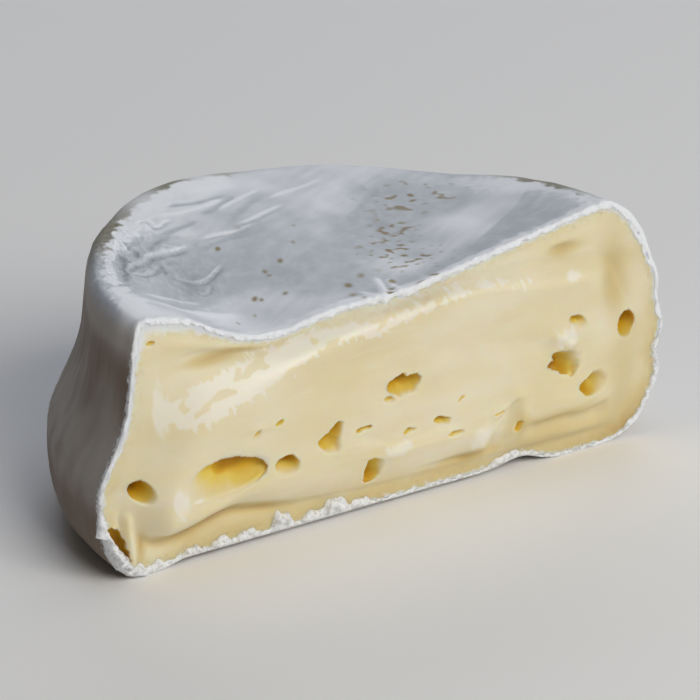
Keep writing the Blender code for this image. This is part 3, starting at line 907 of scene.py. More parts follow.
# %% Folds and ledges of the paste
# Folds and grooves: path over (x, z), width, rise, crease beside it.
PASTE_LINES = (
    (((-38.4, 33), (-34.4, 32.9), (-29.4, 32), (-23.5, 31)), 0.8, -0.55, 0),
    (((-43, 36.4), (-37, 35.4), (-31, 34), (-25, 32.6), (-18, 33.2), (-10, 34.2)),
     0.9, 0.4, 0),
    (((-4.1, 30.2), (3, 32.6), (8, 33.4), (12.2, 33.4), (17.7, 32.9), (26.2, 31.2)), 1, 0.25, 0),
    (((16.4, 12.2), (19.4, 12.6), (22.4, 13.6), (23, 11.4), (22.2, 8.6), (20.6, 6.2)),
     1.3, 0.85, -0.5),
    (((-48, 11.4), (-47.6, 8.4), (-47.2, 5.4), (-46.7, 1.2)), 0.75, 0.9, -0.5),
    (((-10, 20.6), (-3, 21.4), (5, 20.2), (14, 20.6)), 1.2, -0.15, 0),
    (((-29, 21.2), (-25, 20.2), (-21.5, 21)), 0.8, 0.2, -0.4),
    (((14, 24), (24, 22.6), (30, 18.6)), 1.8, -0.3, 0),
    (((-38.9, 11.7), (-36.1, 11.2), (-32.6, 11.3), (-29.5, 12.1), (-26.2, 13.6)), 0.3, 0.26, 0),
)
# The crease under the overhang at the lower left, in the same terms.
OVERHANG = (
    ((-46.4, 8), (-45.2, 6), (-43, 4.9), (-39, 4.9), (-34, 6), (-30, 6.8), (-26, 6.2), (-17, 4.4)),
    0.6,
    -0.5,
    0,
)
# Ledges, which drop to the right of a path: path, width of the drop, drop, how far it reaches.
LEDGES = (
    (((25.4, 14.4), (24.4, 11), (23.2, 8), (21.2, 5.4), (17.8, 3.2)), 2.2, 1.2, 3),
    (((23.6, 9.6), (27.5, 9), (32, 9.2), (36, 8.6), (41.5, 9.8)), 1.7, 1.2, 1.6),
    (((-14, 13), (-8, 14.6), (0, 12.6), (8, 13), (14, 11.4)), 1.2, -0.45, 3.5),
)


def ledge(path, x, z, width, drop, reach):
    """Relief of a ledge: drops on the right of the path, eased by smooth_step, then comes back."""
    path = rounded(path)
    away, share = along_path(path, x, z)
    past = hill(np.maximum(-away - width, 0), 0, reach)
    return -drop * faded(share) * smooth_step(0, width, -away) * past


def eased(share, power):
    """A rise that flattens out, 1 - (1 - share)^power for a share from 0 to 1, softened at 0."""
    return (1 - (1 - np.clip(share, 0, 1)) ** power) * smooth_step(-0.02, 0.22, share)


def paste_relief(x, z):
    """How far the paste stands out of the cut: the pillow, with its swells, folds and ledges."""
    foot, top, shoulder = curve(x, FOOT_LINE), curve(x, TOP_LINE), curve(x, SHOULDER)
    from_top = eased((top - z) / (top - shoulder), curve(x, TOP_POWER))
    from_foot = eased((z - foot) / curve(x, BELLY), curve(x, FOOT_POWERS))
    from_left = smooth_step(0, 1, (x - curve(z, LEFT_LINE)) / curve(z, LEFT_REACH))
    from_right = eased((curve(z, RIGHT_LINE) - x) / RIGHT_REACH, RIGHT_POWER)
    relief = curve(x, PILLOW_RISE) * from_top * from_foot * from_left * from_right
    lines = sum(fold(path, x, z, *form) for path, *form in (*PASTE_LINES, OVERHANG))
    ledges = sum(ledge(path, x, z, *form) for path, *form in LEDGES)
    return relief + patches(x, z, SWELLS) + lines + ledges


def on_face(x, z):
    """Places on the face as flat points, for noise."""
    return np.stack([x, 0 * x, z], axis=-1)


print("pillow at the middle, mm:", round(float(paste_relief(np.zeros(1), np.full(1, 18.0))[0]), 2))

# %% [markdown]
# Eyes are gas bubbles that the knife has opened. Holes could be cut with a Boolean, which leaves a
# ragged mesh, so the face is stretched into them instead: inside an eye's mouth the grid is drawn
# down over a ball. A mouth's outline is twelve radii, one every 30 degrees from the right, with a
# smooth curve through them. Where the paste has run into an eye, that side is a gentle slope.

# %% Eyes
EYE_WAYS = 12


def oval(half_length, half_width, turn):
    """The twelve radii of an oval, turned by degrees: 1 / sqrt((cos/a)^2 + (sin/b)^2)."""
    way = np.radians(np.arange(EYE_WAYS) * 360 / EYE_WAYS - turn)
    return tuple(1 / np.hypot(np.cos(way) / half_length, np.sin(way) / half_width))


# Place on the face (x, z), outline, depth, lean of the bottom (x, z), the way in degrees of the
# soft side and how soft it is, how golden the eye gets, and how ragged its mouth is.
EYES = (
    (-45.7, 14.1, (1.6, 1.5, 1.6, 1.9, 2.2, 2.4, 1.9, 1.5, 1.4, 1.6, 1.9, 1.8),
     3.8, -0.5, 0.6, -50, 0.6, 1, 0),
    (-33, 13.9, (8, 5, 3.7, 3.3, 3.5, 4.8, 6.4, 5.8, 4.4, 3.8, 3.9, 5),
     2.1, 1.4, 1.5, -115, 1.35, 0.74, 0.04),
    (-21.3, 13.1, (2.2, 1.8, 1.8, 1.7, 1.8, 2.2, 2.2, 1.8, 1.7, 1.8, 2.1, 2.3),
     2.8, 0.2, 0.8, -100, 1.2, 0.9, 0.03),
    (-13, 15.3, (1.4, 1.9, 3.1, 2, 1.5, 1.9, 2.6, 2.1, 2.1, 2.2, 2.6, 1.9),
     2.7, -0.3, 0.5, -60, 0.8, 0.85, 0.1),
    (-7.3, 15.6, (1.7, 0.8, 0.45, 0.4, 0.45, 0.7, 1.3, 1.1, 0.45, 0.35, 0.35, 0.5),
     1.2, 0.1, 0.3, -80, 0.5, 0.7, 0.15),
    (-4.9, 8, (1.8, 1.7, 2, 2.4, 2.6, 1.9, 1.5, 1.6, 2.2, 2.5, 2.3, 2.1),
     2.9, -0.6, -0.3, 20, 0.7, 0.9, 0.1),
    (0.3, 20.9, (3.3, 2.7, 1.5, 1.9, 1.8, 2.6, 3.2, 2.1, 2, 1.6, 1.9, 2.7),
     2.6, -0.2, 0.7, -80, 0.7, 0.85, 0.2),
    (-2.3, 19.1, (1.1, 0.7, 0.6, 0.7, 0.8, 1.1, 0.9, 0.7, 0.7, 0.7, 0.8, 1),
     0.7, 0, 0.1, -90, 1.2, 0.35, 0.15),
    (1.4, 13.2, (1.4, 0.7, 0.5, 0.6, 0.6, 0.8, 1.1, 1, 0.5, 0.4, 0.4, 0.5),
     0.8, 0, 0.2, -60, 0.8, 0.5, 0.2),
    (7.6, 13.4, (1.5, 0.8, 0.6, 0.7, 0.9, 1.5, 1.5, 0.8, 0.6, 0.5, 0.7, 1.6),
     1.2, 0, 0.3, -80, 0.6, 0.65, 0.2),
    (10.1, 10.7, oval(1.6, 0.5, -4), 0.8, 0, 0.1, -80, 0.8, 0.4, 0.2),
    (11.2, 16.1, oval(0.8, 0.35, 35), 0.5, 0, 0, -80, 0.8, 0.35, 0.2),
    (18.6, 12, oval(1.3, 0.4, 8), 0.6, 0, 0.1, -80, 0.8, 0.4, 0.2),
    (-26.8, 19.3, oval(1.05, 0.5, 62), 0.6, 0, 0.1, -90, 1, 0.35, 0.1),
    (-22.7, 20.4, oval(0.8, 0.45, 20), 0.8, 0, 0.1, -90, 0.6, 0.6, 0.1),
    (31.7, 17.5, (2.9, 2.7, 2.1, 2, 2.3, 3.3, 3.3, 2.1, 2, 2.2, 2.9, 3),
     3.6, -1.1, -0.6, 20, 1, 0.95, 0.2),
    (37, 12.7, (3.6, 3.2, 2.3, 1.8, 1.6, 1.8, 3, 2.4, 2.2, 2, 2.2, 2.8),
     3.2, -0.8, -0.3, 15, 1.2, 0.9, 0.08),
    (34, 23.5, (1.6, 1.2, 1.2, 1.3, 1.6, 2.2, 1.1, 0.7, 0.7, 0.9, 1.6, 2.2),
     1.3, 0, 0.5, -80, 1.3, 0.55, 0.1),
    (44.9, 20.2, (2.7, 2.4, 2.2, 2.1, 2.2, 2.3, 2.3, 2.1, 2, 2.1, 2.3, 2.6),
     4.8, -0.2, 0.8, -70, 0.3, 1, 0),
    (22.6, 8.8, oval(1, 0.5, 75), 1.2, 0, 0, 0, 0.5, 0.6, 0.15),
    (-49.5, 5.9, oval(3.7, 1.45, -69), 1.9, 0.5, 0, 200, 0.4, 0.85, 0.12),
    (-43, 36.7, oval(0.8, 0.4, 0), 0.6, 0, 0, -90, 0.8, 0.4, 0.1),
)
print("eyes:", len(EYES), "deepest, mm:", max(eye[3] for eye in EYES))

# %% [markdown]
# Every eye is opened by the same rule, on all points of the face at once. It moves a point sideways
# and back into the paste, and also gives how golden the light inside it looks.

# %% Open the eyes
# How far the ball closes at the mouth, how fast the soft side and the gold come on, and how much
# less golden the soft side is.
MOUTH_CLOSING, SOFT_POWER, GOLD_POWER, LESS_GOLD = 0.42, 1.3, 0.8, 0.6
EYE_LIP_RISE, EYE_LIP_WIDTH, MOUTH_TEARS = 0.05, 0.30, (1, 1.0, 31, 2)


def mouth_radius(outline, way):
    """Radius of a mouth in a direction from 0 to 360 degrees, through the outline's radii."""
    count = np.arange(-2, EYE_WAYS + 3)
    nodes = np.stack([count * 360 / EYE_WAYS, np.array(outline)[count % EYE_WAYS]], -1)
    return curve(way, nodes)


def open_eyes(x, z):
    """Sideways shift and depth of the face's points in mm, and how golden they are, 0 to 1.

    With q from 0 at the mouth's edge to 1 in the middle, the ball's angle runs from the mouth's to
    180 degrees. Its sine gives the distance from the middle and its cosine the depth, and the lean
    moves a point in proportion to its depth. Towards the soft side the ball gives way to a slope
    that is eased by smooth_step. A low lip stands up just outside the mouth.
    """
    shift_x, shift_z, depth, gold = (np.zeros(x.shape) for _ in range(4))
    start = math.asin(1 - MOUTH_CLOSING**2 / 2)
    tears = uneven(on_face(x, z), MOUTH_TEARS)
    for px, pz, outline, deep, lean_x, lean_z, soft_way, softness, golden, ragged in EYES:
        off_x, off_z = x - px, z - pz
        way = np.degrees(np.arctan2(off_z, off_x)) % 360
        radius = mouth_radius(outline, way) * (1 + ragged * tears)
        reach = np.hypot(off_x, off_z) / radius
        q = np.clip(1 - reach, 0, 1)
        ball = start + (math.pi - start) * q
        share = (math.cos(start) - np.cos(ball)) / (math.cos(start) + 1)
        wider = np.sin(ball) / math.sin(start) / np.maximum(reach, 1e-6) - 1
        soft = softness * (0.5 + 0.5 * np.cos(np.radians(way - soft_way))) ** SOFT_POWER
        soft = np.clip(soft, 0, 1) * smooth_step(0, 0.35, reach)
        share = share * (1 - soft) + smooth_step(0, 1.0, q) * soft
        wider = np.where(q > 0, wider * (1 - soft), 0)
        shift_x += off_x * wider + lean_x * share
        shift_z += off_z * wider + lean_z * share
        from_mouth = (reach - 1) * radius
        lip = EYE_LIP_RISE * min(deep / 2, 1) * (q <= 0) * hill(from_mouth, 0.3, EYE_LIP_WIDTH)
        depth += deep * share - lip * smooth_step(0, 0.25, from_mouth)
        gold = np.maximum(gold, golden * share**GOLD_POWER * (1 - LESS_GOLD * soft))
    return shift_x, shift_z, depth, gold


to_right = mouth_radius(EYES[0][2], np.zeros(1))
print("first eye, from its middle to the right, mm:", to_right.round(2))

# %% [markdown]
# The face is stretched between the four edges of the skin. Across, the edges are blended evenly; up
# and down, a point keeps its share of the height, so the grid follows the wall at both ends.

# %% Face of the cut
FACE_ROWS, FACE_COLUMNS = 460, 190
HIDDEN_TOP, HIDDEN_BASE = 24, 12
PASTE_INSET, HIDDEN_INSET, LEAST_BACK, END_PULL = 0.4, 1.2, 0.3, 4


def stretched_face(top, base, right, left):
    """Plan points (x, z) of the face between its four edges, as two arrays (rows, columns)."""
    leftward = np.linspace(0, 1, len(top))[:, None]
    down = np.linspace(0, 1, len(right))[None, :]
    level = (1 - down) * top[:, None, 0] + down * base[:, None, 0]
    level_right = (1 - down) * right[0, 0] + down * right[-1, 0]
    level_left = (1 - down) * left[0, 0] + down * left[-1, 0]
    x = level + (1 - leftward) * (right[:, 0] - level_right) + leftward * (left[:, 0] - level_left)
    shares = [(end[:, 2] - end[-1, 2]) / (end[0, 2] - end[-1, 2]) for end in (right, left)]
    near_right, near_left = (1 - leftward) ** END_PULL, leftward**END_PULL
    share = near_right * shares[0] + near_left * shares[1] + (1 - near_right - near_left) * (1 - down)
    return x, base[:, None, 2] + (top[:, None, 2] - base[:, None, 2]) * share


def distance_to(loop, x, z):
    """Distance from each point to the nearest point of a closed loop of points."""
    flat = np.stack([x.ravel(), z.ravel()], axis=-1)
    parts = [
        np.hypot(part[:, None, 0] - loop[None, :, 0], part[:, None, 1] - loop[None, :, 1]).min(axis=1)
        for part in np.array_split(flat, 60)
    ]
    return np.concatenate(parts).reshape(x.shape)


face_angles = np.linspace(0, math.pi, FACE_ROWS + 1)
face_tilts = np.linspace(1, -1, FACE_COLUMNS + 1) * math.pi / 2
body, body_facing = skin(
    face_angles,
    np.linspace(0, 1, HIDDEN_TOP + 1)[:-1],
    face_tilts,
    np.linspace(1, 0, HIDDEN_BASE + 1)[1:],
)
inset = PASTE_INSET + HIDDEN_INSET * smooth_step(0.2, 3, body[..., 1:2])
body = body - body_facing * inset
body[..., 1] = np.maximum(body[..., 1], LEAST_BACK)
face_wall = slice(HIDDEN_TOP, HIDDEN_TOP + FACE_COLUMNS + 1)
face_x, face_z = stretched_face(body[:, 0], body[:, -1], body[0, face_wall], body[-1, face_wall])
face_numbers = np.arange(face_x.size).reshape(face_x.shape)
face_rim = rim_of(face_numbers, 0, FACE_COLUMNS)
loop = np.stack([face_x.ravel()[face_rim], face_z.ravel()[face_rim]], axis=-1)
from_edge = distance_to(loop, face_x, face_z)
print("face:", face_x.shape, "widest distance from the rind, mm:", round(float(from_edge.max()), 1))

# %% [markdown]
# Where the knife has smeared the upper slope, the paste is wet and smooth in patches with torn
# edges. They could be separate films, but they have no thickness to see, so a mark on the mesh tells
# the material where they are. The same mark paints them and a few small spots paler, as painted
# highlights, glints and sheen on top of their real gloss.

# %% Wet patches and painted highlights
WET_TOP = (
    (-43, 26.5), (-39, 28.4), (-34, 29.2), (-29, 30.3), (-24, 31.2), (-19, 31.9), (-11, 32.6),
    (-3, 32.4), (7, 33.8), (12, 34.2), (28, 32.2),
)
WET_LOW = (
    (-43, 25.5), (-38, 22.8), (-34, 23.2), (-30, 24.6), (-25, 26), (-20.5, 27.7), (-11, 30.4),
    (-3, 30.6), (7, 32.4), (18, 33), (28, 31.6),
)
# Smaller wet patches, also painted paler as glints, highlight lines and a streak of sheen:
# place (x, z), half-width, half-height.
WET_AND_GLINT_SPOTS = (
    (-40.6, 11.8, 1.6, 2.3),
    (-1.2, 10.8, 3, 1.2),
    (15.4, 8.7, 2.3, 2),
    (31.3, 21.8, 2.2, 1.6),
    (32.6, 31.6, 1.7, 0.9),
    (-37.3, 11.5, 1.5, 0.22),
    (-30.6, 11.8, 1.2, 0.24),
    (-42.2, 26, 1.1, 4.2),
)
# Noises of the film's borders and of its gaps, and how much of the first tears the spots.
FILM_TEARS, FILM_GAPS, SPOT_TEARS = (1.5, (0.8, 1, 2.4), 61, 2), (1, (3.4, 1, 2.0), 62, 2), 0.3


def wet_and_highlight_mark(x, z):
    """Where the paste is wet and painted paler as a highlight, 0 to 1: between two curves, torn by
    noise, and in a few spots.
    """
    place = on_face(x * 0.93 + z * 0.37, z * 0.93 - x * 0.37)
    torn = uneven(place, FILM_TEARS)
    low, high = curve(x, WET_LOW), curve(x, WET_TOP)
    film = smooth_step(-0.1, 0.25, z - low + torn) * smooth_step(0.3, -0.3, z - high - 0.6 * torn)
    film = film * smooth_step(-43, -41, x + torn) * smooth_step(28, 24, x)
    film = film * smooth_step(-0.38, -0.24, uneven(place, FILM_GAPS))
    for px, pz, half_x, half_z in WET_AND_GLINT_SPOTS:
        away = np.hypot((x - px) / half_x, (z - pz) / half_z) + SPOT_TEARS * torn
        film = film + smooth_step(1.35, 0.5, away)
    return np.clip(film, 0, 1)


print("wet spots:", len(WET_AND_GLINT_SPOTS))

# %% [markdown]
# The paste is warmer and yellower near the rind. Low down, at the right, in grooves and hollows and in
# the crease under the overhang it is painted darker and warmer as shade. Mould is smeared over its
# edge in a ragged strip. Both are kept as marks in the same way.

# %% Warmth, painted shade and felt
# Places painted darker and warmer as the shade of grooves, hollows, valleys and overhangs:
# place (x, z), half-width, half-height, how much.
SHADE_PLACES = (
    (-31.5, 32, 6.5, 0.9, 0.9),
    (33, 35, 3, 1, 0.9),
    (42.4, 28.2, 3, 5.2, 0.55),
    (31, 8.6, 6.5, 1.1, 0.6),
    (23.4, 9, 1.2, 2.4, 0.6),
    (-45.4, 4.6, 0.9, 2.6, 0.8),
    (14.5, 5, 4.5, 0.9, 0.6),
    (30, 5.6, 6, 2.2, 0.35),
    (44, 12, 4, 5, 0.25),
    (2, 25.5, 26, 5, 0.2),
)
# Mould smeared over the two shoulders, in the same terms, and its plain reach.
FELT_LEFT, FELT_RIGHT, FELT_REACH = (-41, 38, 7, 4), (46, 36, 8, 6), 0.8
# Noises: of how far the warm edge reaches, of warmth everywhere, and of the felt's border.
EDGE_BLUR, CLOUDS, FELT_TEARS = (0.8, 2.5, 71, 2), (0.12, (9, 1, 5), 72, 2), (0.8, (1.3, 1, 1.0), 73, 3)
# How much painted shade lies in the crease under the overhang, and over which width.
CREASE_SHADE, CREASE_BREADTH = -1.4, 0.9


def warmth_and_shade_mark(x, z, from_edge):
    """How warm and yellow the paste is, from 0: warmer near the rind, and darker and warmer as
    painted shade low down, at the right, in the shaded places and in the crease.
    """
    near = smooth_step(3.5, 0.8, from_edge + uneven(on_face(x, z), EDGE_BLUR))
    near = near * (0.05 + 0.25 * smooth_step(26, 14, z))
    # Painted shade: darker and warmer low down and at the right.
    low = 0.42 * smooth_step(10.5, 3, z) * smooth_step(-44, -36, x)
    right = 0.28 * smooth_step(32, 46, x)
    # Painted shadow in the crease under the overhang.
    creased = CREASE_SHADE * fold(OVERHANG[0], x, z, CREASE_BREADTH, OVERHANG[2])
    warmth_and_shade = near + low + right + patches(x, z, SHADE_PLACES) + creased
    return np.clip(warmth_and_shade + uneven(on_face(x, z), CLOUDS), 0, 1.3)


def felt_mark(x, z, from_edge):
    """Mould smeared over the edge of the paste, 0 to 1: a ragged strip, wider at the shoulders."""
    left, right = patch(x, z, *FELT_LEFT), patch(x, z, *FELT_RIGHT)
    wall_side = smooth_step(-40, -45, x) * smooth_step(36, 33, z)
    reach = FELT_REACH - 0.4 * wall_side + 1.9 * left + 0.9 * right
    reach = np.maximum(reach + uneven(on_face(x, z), FELT_TEARS), 0.2)
    return smooth_step(1.0, 0.3, from_edge / reach) * (0.75 + 0.3 * left)


print("warm places:", len(SHADE_PLACES))

# %% [markdown]
# Fine unevenness comes last: faint streaks where the knife dragged the paste, soft waves, crumbs on
# the walls of the eyes, and pits beside the rind. Along its edge the paste stands a little proud,
# so that it meets the felt without a dark gap.

# %% Fine relief of the face
# Each noise is its strength in mm, the size of its bumps in mm, a seed and its layers.
DRAGGED = ((0.02, (9, 1, 0.9), 41, 2), (0.1, (7, 1, 4.5), 42, 2))
CRUMBS, PITS, PIT_DEPTH = (0.14, (1.3, 1, 1.1), 43, 2), (1, (1.1, 1, 0.8), 44), 0.12
# The width over which the face comes flush, and how far and how wide its edge stands proud.
FLUSH_WIDTH, PROUD, PROUD_WIDTH = 1.4, 0.12, 1.4
shift_x, shift_z, eye_depth, gold = open_eyes(face_x, face_z)
flat_face = on_face(face_x, face_z)
crumbs = uneven(flat_face, CRUMBS) * smooth_step(0.3, 1.5, eye_depth)
pits = PIT_DEPTH * smooth_step(0.15, 0.5, uneven(flat_face, PITS)) * hill(from_edge, 1.3, 0.6)
fine = (uneven(flat_face, *DRAGGED) + crumbs - pits) * smooth_step(0.2, 2.0, from_edge)
out = paste_relief(face_x, face_z) * smooth_step(0.1, FLUSH_WIDTH, from_edge) + fine
out = out + PROUD * (1 - smooth_step(0, PROUD_WIDTH, from_edge))
face = np.stack([face_x + shift_x, eye_depth - out, face_z + shift_z], axis=-1)
print("face stands out of the cut, mm:", round(float(-face[..., 1].min()), 2))

# %% [markdown]
# Behind the face is a plain hidden body, a little smaller than the rind's inside. Both share the
# corners round the cut, so the piece closes there, and the body's other rows are thinned out.

# %% Join the paste
body_numbers = np.arange(body[..., 0].size).reshape(body.shape[:2])
close_poles(body_numbers, HIDDEN_TOP, face_wall.stop - 1)
body_rim = rim_of(body_numbers, HIDDEN_TOP, face_wall.stop - 1)
joined = face_numbers.size + np.arange(body_numbers.size)
joined[body_rim] = face_rim
paste_faces = np.concatenate(
    [corners(face_numbers, flipped=True), corners(thinned(joined[body_numbers], 5))]
)
paste_points = np.concatenate([face.reshape(-1, 3), body.reshape(-1, 3)])
hidden = np.zeros(body_numbers.size)
paste_marks = {
    "eye": gold,
    "warmth_and_shade": warmth_and_shade_mark(face_x, face_z, from_edge),
    "wet_and_highlight": wet_and_highlight_mark(face_x, face_z) * smooth_step(0.5, 0.1, eye_depth),
    "edge": from_edge,
    "felt": felt_mark(face_x, face_z, from_edge),
}
paste_values = {name: np.concatenate([value.ravel(), hidden]) for name, value in paste_marks.items()}
paste = make_piece("paste", paste_points, paste_faces, paste_values)

# %% [markdown]
# ## Materials
# Each finish starts from the real thing. Colours are given as sRGB hex, as a picker shows them, and
# turned linear by one function. A finish could be one flat colour, but here it is built up as a
# painter would: coats over a ground colour, where each coat follows a noise or one of the marks
# that the mesh carries. The size of a noise is in mm: a scale of s has about s bumps per metre.

# %% Helpers for materials


def linear(colour, alpha=1.0):
    """An sRGB hex colour as linear RGBA: c/12.92 when dark, else ((c + 0.055)/1.055)^2.4."""
    parts = [int(colour[i : i + 2], 16) / 255 for i in (1, 3, 5)]
    return (*[c / 12.92 if c <= 0.04045 else ((c + 0.055) / 1.055) ** 2.4 for c in parts], alpha)


def add_node(material, kind, inputs=(), **settings):
    """Adds one node. Settings are its own, and inputs fills its sockets or links them."""
    made = material.node_tree.nodes.new("ShaderNode" + kind)
    for name, value in settings.items():
        setattr(made, name, value)
    for name, value in dict(inputs).items():
        if isinstance(value, bpy.types.NodeSocket):
            material.node_tree.links.new(value, made.inputs[name])
        else:
            made.inputs[name].default_value = value
    return made


def new_material(name):
    """An empty node material, with its Principled shader already joined to the output."""
    material = bpy.data.materials.new(name)
    material.use_nodes = True
    material.node_tree.nodes.clear()
    shader = add_node(material, "BsdfPrincipled")
    add_node(material, "OutputMaterial", {"Surface": shader.outputs["BSDF"]})
    return material, shader


def followed(material, marks, noises):
    """What coats can follow, by name: the mesh's marks, and noises from 0 to 1.

    A noise is its size in mm, detail, roughness, and how far it is stretched along each axis.
    """
    where = add_node(material, "TexCoord").outputs["Object"]
    found = {}
    for name in marks:
        found[name] = add_node(material, "Attribute", attribute_name=name).outputs["Fac"]
    for name, (size, detail, rough, stretch) in noises.items():
        squeeze = {"Vector": where, "Scale": [1 / part for part in stretch]}
        placed = add_node(material, "Mapping", squeeze).outputs[0]
        inputs = {"Vector": placed, "Scale": 1 / (size * MM), "Detail": detail, "Roughness": rough}
        found[name] = add_node(material, "TexNoise", inputs).outputs[0]
    return found


def coats(material, ground, rows):
    """Colour of several coats laid one over another on a ground colour.

    Each row is a coat's colour and its ranges: value, low, high, least, most. A range eases from
    least to most as its value goes from low to high, and their product is how much the coat hides.
    """
    below = linear(ground)
    for colour, *ranges in rows:
        shares = []
        for parts in ranges:
            inputs = dict(enumerate(parts))
            ramp = add_node(material, "MapRange", inputs, interpolation_type="SMOOTHSTEP")
            shares.append(ramp.outputs[0])
        if len(shares) == 2:
            shares = add_node(material, "Math", dict(enumerate(shares)), operation="MULTIPLY").outputs
        inputs = {0: shares[0], 6: below, 7: linear(colour)}
        below = add_node(material, "Mix", inputs, data_type="RGBA").outputs[2]
    return below


def finish(material, shader, colour, height, depth, strength, values):
    """Gives the shader its colour, a fine relief of a depth in mm, and values of its own."""
    relief = {"Height": height, "Distance": depth * MM, "Strength": strength}
    bump = add_node(material, "Bump", relief)
    material.node_tree.links.new(colour, shader.inputs["Base Color"])
    material.node_tree.links.new(bump.outputs[0], shader.inputs["Normal"])
    for name, value in values.items():
        shader.inputs[name].default_value = value


print("mid grey as linear:", round(linear("#808080")[0], 3))

# %% [markdown]
# ### Rind: white mould felt
# The mould is a felt of threads far thinner than a hair over a skin of dried curd; its noise is
# drawn coarser than the threads, so that it shows. It is dull and slightly velvety, which the sheen
# gives, and cool white where it lies thick; its colour also carries painted light and shade. Thin
# felt lets the grey-beige curd through, specks of it are bare and tan, and on the outside of the far
# rim the colour is olive in places. The wall is duller and browner towards the foot and on the left,
# partly dried with age and partly painted shade, with white tufts where the cut has torn it.

# %% Rind material
rind_felt, felt = new_material("white_mould_felt")
PLAIN, TORN_SHARE = (1, 1, 1), 0.55
on = followed(
    rind_felt,
    ("bloom", "age_and_shade", "specks", "fringe", "torn"),
    {"dust": (2.2, 3.0, 0.6, PLAIN), "threads": (0.8, 4.0, 0.65, PLAIN), "fuzz": (0.5, 3.0, 0.6, PLAIN)},
)
inputs = {0: on["torn"], 1: TORN_SHARE, 2: on["threads"]}
tufts = add_node(rind_felt, "Math", inputs, operation="MULTIPLY_ADD").outputs[0]
RIND_COATS = (
    # Plain felt over the thin grey one and thick white bloom, both also painted light and shade;
    # then dust.
    ("#BEC5CD", (on["bloom"], 0, 0.5, 0, 1)),
    ("#F5F8FD", (on["bloom"], 0.5, 0.95, 0, 1)),
    ("#EDEFF3", (on["dust"], 0.4, 0.7, 0, 0.22)),
    # The aged wall, darker on the left as painted shade, and its brown foot, also painted shade;
    # then the tan specks.
    ("#9B8D7D", (on["age_and_shade"], 0, 0.7, 0, 0.8)),
    ("#6D5743", (on["age_and_shade"], 0.7, 1, 0, 0.85)),
    ("#8C7B52", (on["specks"], 0.12, 0.75, 0, 0.92)),
    # White tufts beside the cut, the grey between them, and the olive rim.
    ("#F0F3F8", (tufts, 0.84, 1, 0, 0.85)),
    ("#C3C3C0", (on["threads"], 0.38, 0.54, 0.75, 0), (on["torn"], 1.2, 2, 0, 1)),
    ("#6C6544", (on["fringe"], 0.1, 1, 0, 0.9)),
)
felt_values = {
    "Roughness": 0.7,
    "Specular IOR Level": 0.35,
    "Sheen Weight": 0.15,
    "Sheen Roughness": 0.5,
}
felt_colour = coats(rind_felt, "#9FA5AD", RIND_COATS)
finish(rind_felt, felt, felt_colour, on["fuzz"], 0.03, 0.6, felt_values)
rind.data.materials.append(rind_felt)
print("coats of the rind:", len(RIND_COATS))

# %% [markdown]
# ### Paste: ripe soft curd
# Ripe curd is a wet emulsion of fat and protein. Light enters it, spreads a few millimetres and
# comes out yellower, so it needs subsurface light, and in the eyes, where light bounces many times,
# it looks golden. Its wet patches have a coat, and the rest is only satin.

# %% Paste material
ripe_curd, curd = new_material("ripe_soft_curd")
on = followed(
    ripe_curd,
    ("warmth_and_shade", "wet_and_highlight", "edge", "felt", "eye"),
    {
        "clouds": (9.0, 2.0, 0.5, (2.4, 1, 1)),
        "wisps": (1.2, 3.0, 0.6, (6, 1, 1)),
        "grains": (1.1, 3.0, 0.6, (1.6, 1, 1)),
        "smear": (2.0, 2.0, 0.5, (2, 1, 1)),
    },
)
PASTE_COATS = (
    # Ivory in clouds, pale wisps, then warmth near the rind with painted shade, and the darkest
    # painted shade of grooves and creases.
    ("#EFE7CD", (on["clouds"], 0.35, 0.68, 0, 1)),
    ("#F4EFDF", (on["wisps"], 0.52, 0.8, 0, 0.3)),
    ("#DCCA98", (on["warmth_and_shade"], 0, 0.7, 0, 1)),
    ("#C2A264", (on["warmth_and_shade"], 0.6, 1.3, 0, 1)),
    # Milky wet patches, also painted highlights and sheen, toasted grains beside the rind, and
    # smeared mould.
    ("#F7F3E8", (on["wet_and_highlight"], 0, 1, 0, 0.72)),
    ("#E2C99C", (on["grains"], 0.46, 0.66, 0, 1), (on["edge"], 0.8, 2.6, 0.36, 0)),
    ("#F3F4F5", (on["felt"], 0, 1, 0, 0.8)),
    # The eyes, painted with the light that bounces inside them: yellow at the mouth, golden
    # inside, and amber at the bottom as painted shade.
    ("#E8CF5A", (on["eye"], 0.02, 0.26, 0, 0.95)),
    ("#DCAE20", (on["eye"], 0.2, 0.55, 0, 1)),
    ("#B07A02", (on["eye"], 0.46, 0.88, 0, 1)),
)
# From the dry paste to the wet patches: roughness and weight of the coat.
for socket, dry, soaked in (("Roughness", 0.48, 0.36), ("Coat Weight", 0.02, 0.42)):
    inputs = {"Value": on["wet_and_highlight"], 3: dry, 4: soaked}
    ramp = add_node(ripe_curd, "MapRange", inputs, interpolation_type="SMOOTHSTEP")
    ripe_curd.node_tree.links.new(ramp.outputs[0], curd.inputs[socket])
curd_values = {
    "IOR": 1.45,
    "Specular IOR Level": 0.32,
    "Subsurface Weight": 0.75,
    "Subsurface Radius": (1.0, 0.7, 0.3),
    "Subsurface Scale": 2.0 * MM,
    "Coat Roughness": 0.2,
}
curd_colour = coats(ripe_curd, "#EADFBA", PASTE_COATS)
finish(ripe_curd, curd, curd_colour, on["smear"], 0.05, 0.5, curd_values)
paste.data.materials.append(ripe_curd)
print("coats of the paste:", len(PASTE_COATS))

# %% [markdown]
# ## Join to the frame
# The solid model has one body and one node. Both pieces ride on that body, and that node is hidden
# so that they stand in its place.

# %% Ride and replace
for piece, slot in ((rind, "rind"), (paste, "paste")):
    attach(piece, "root")
    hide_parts("camembert")

# %% [markdown]
# ## Floor, light and camera
# The cheese stands on a plain pale floor, matt and wide enough to have no edge in view.

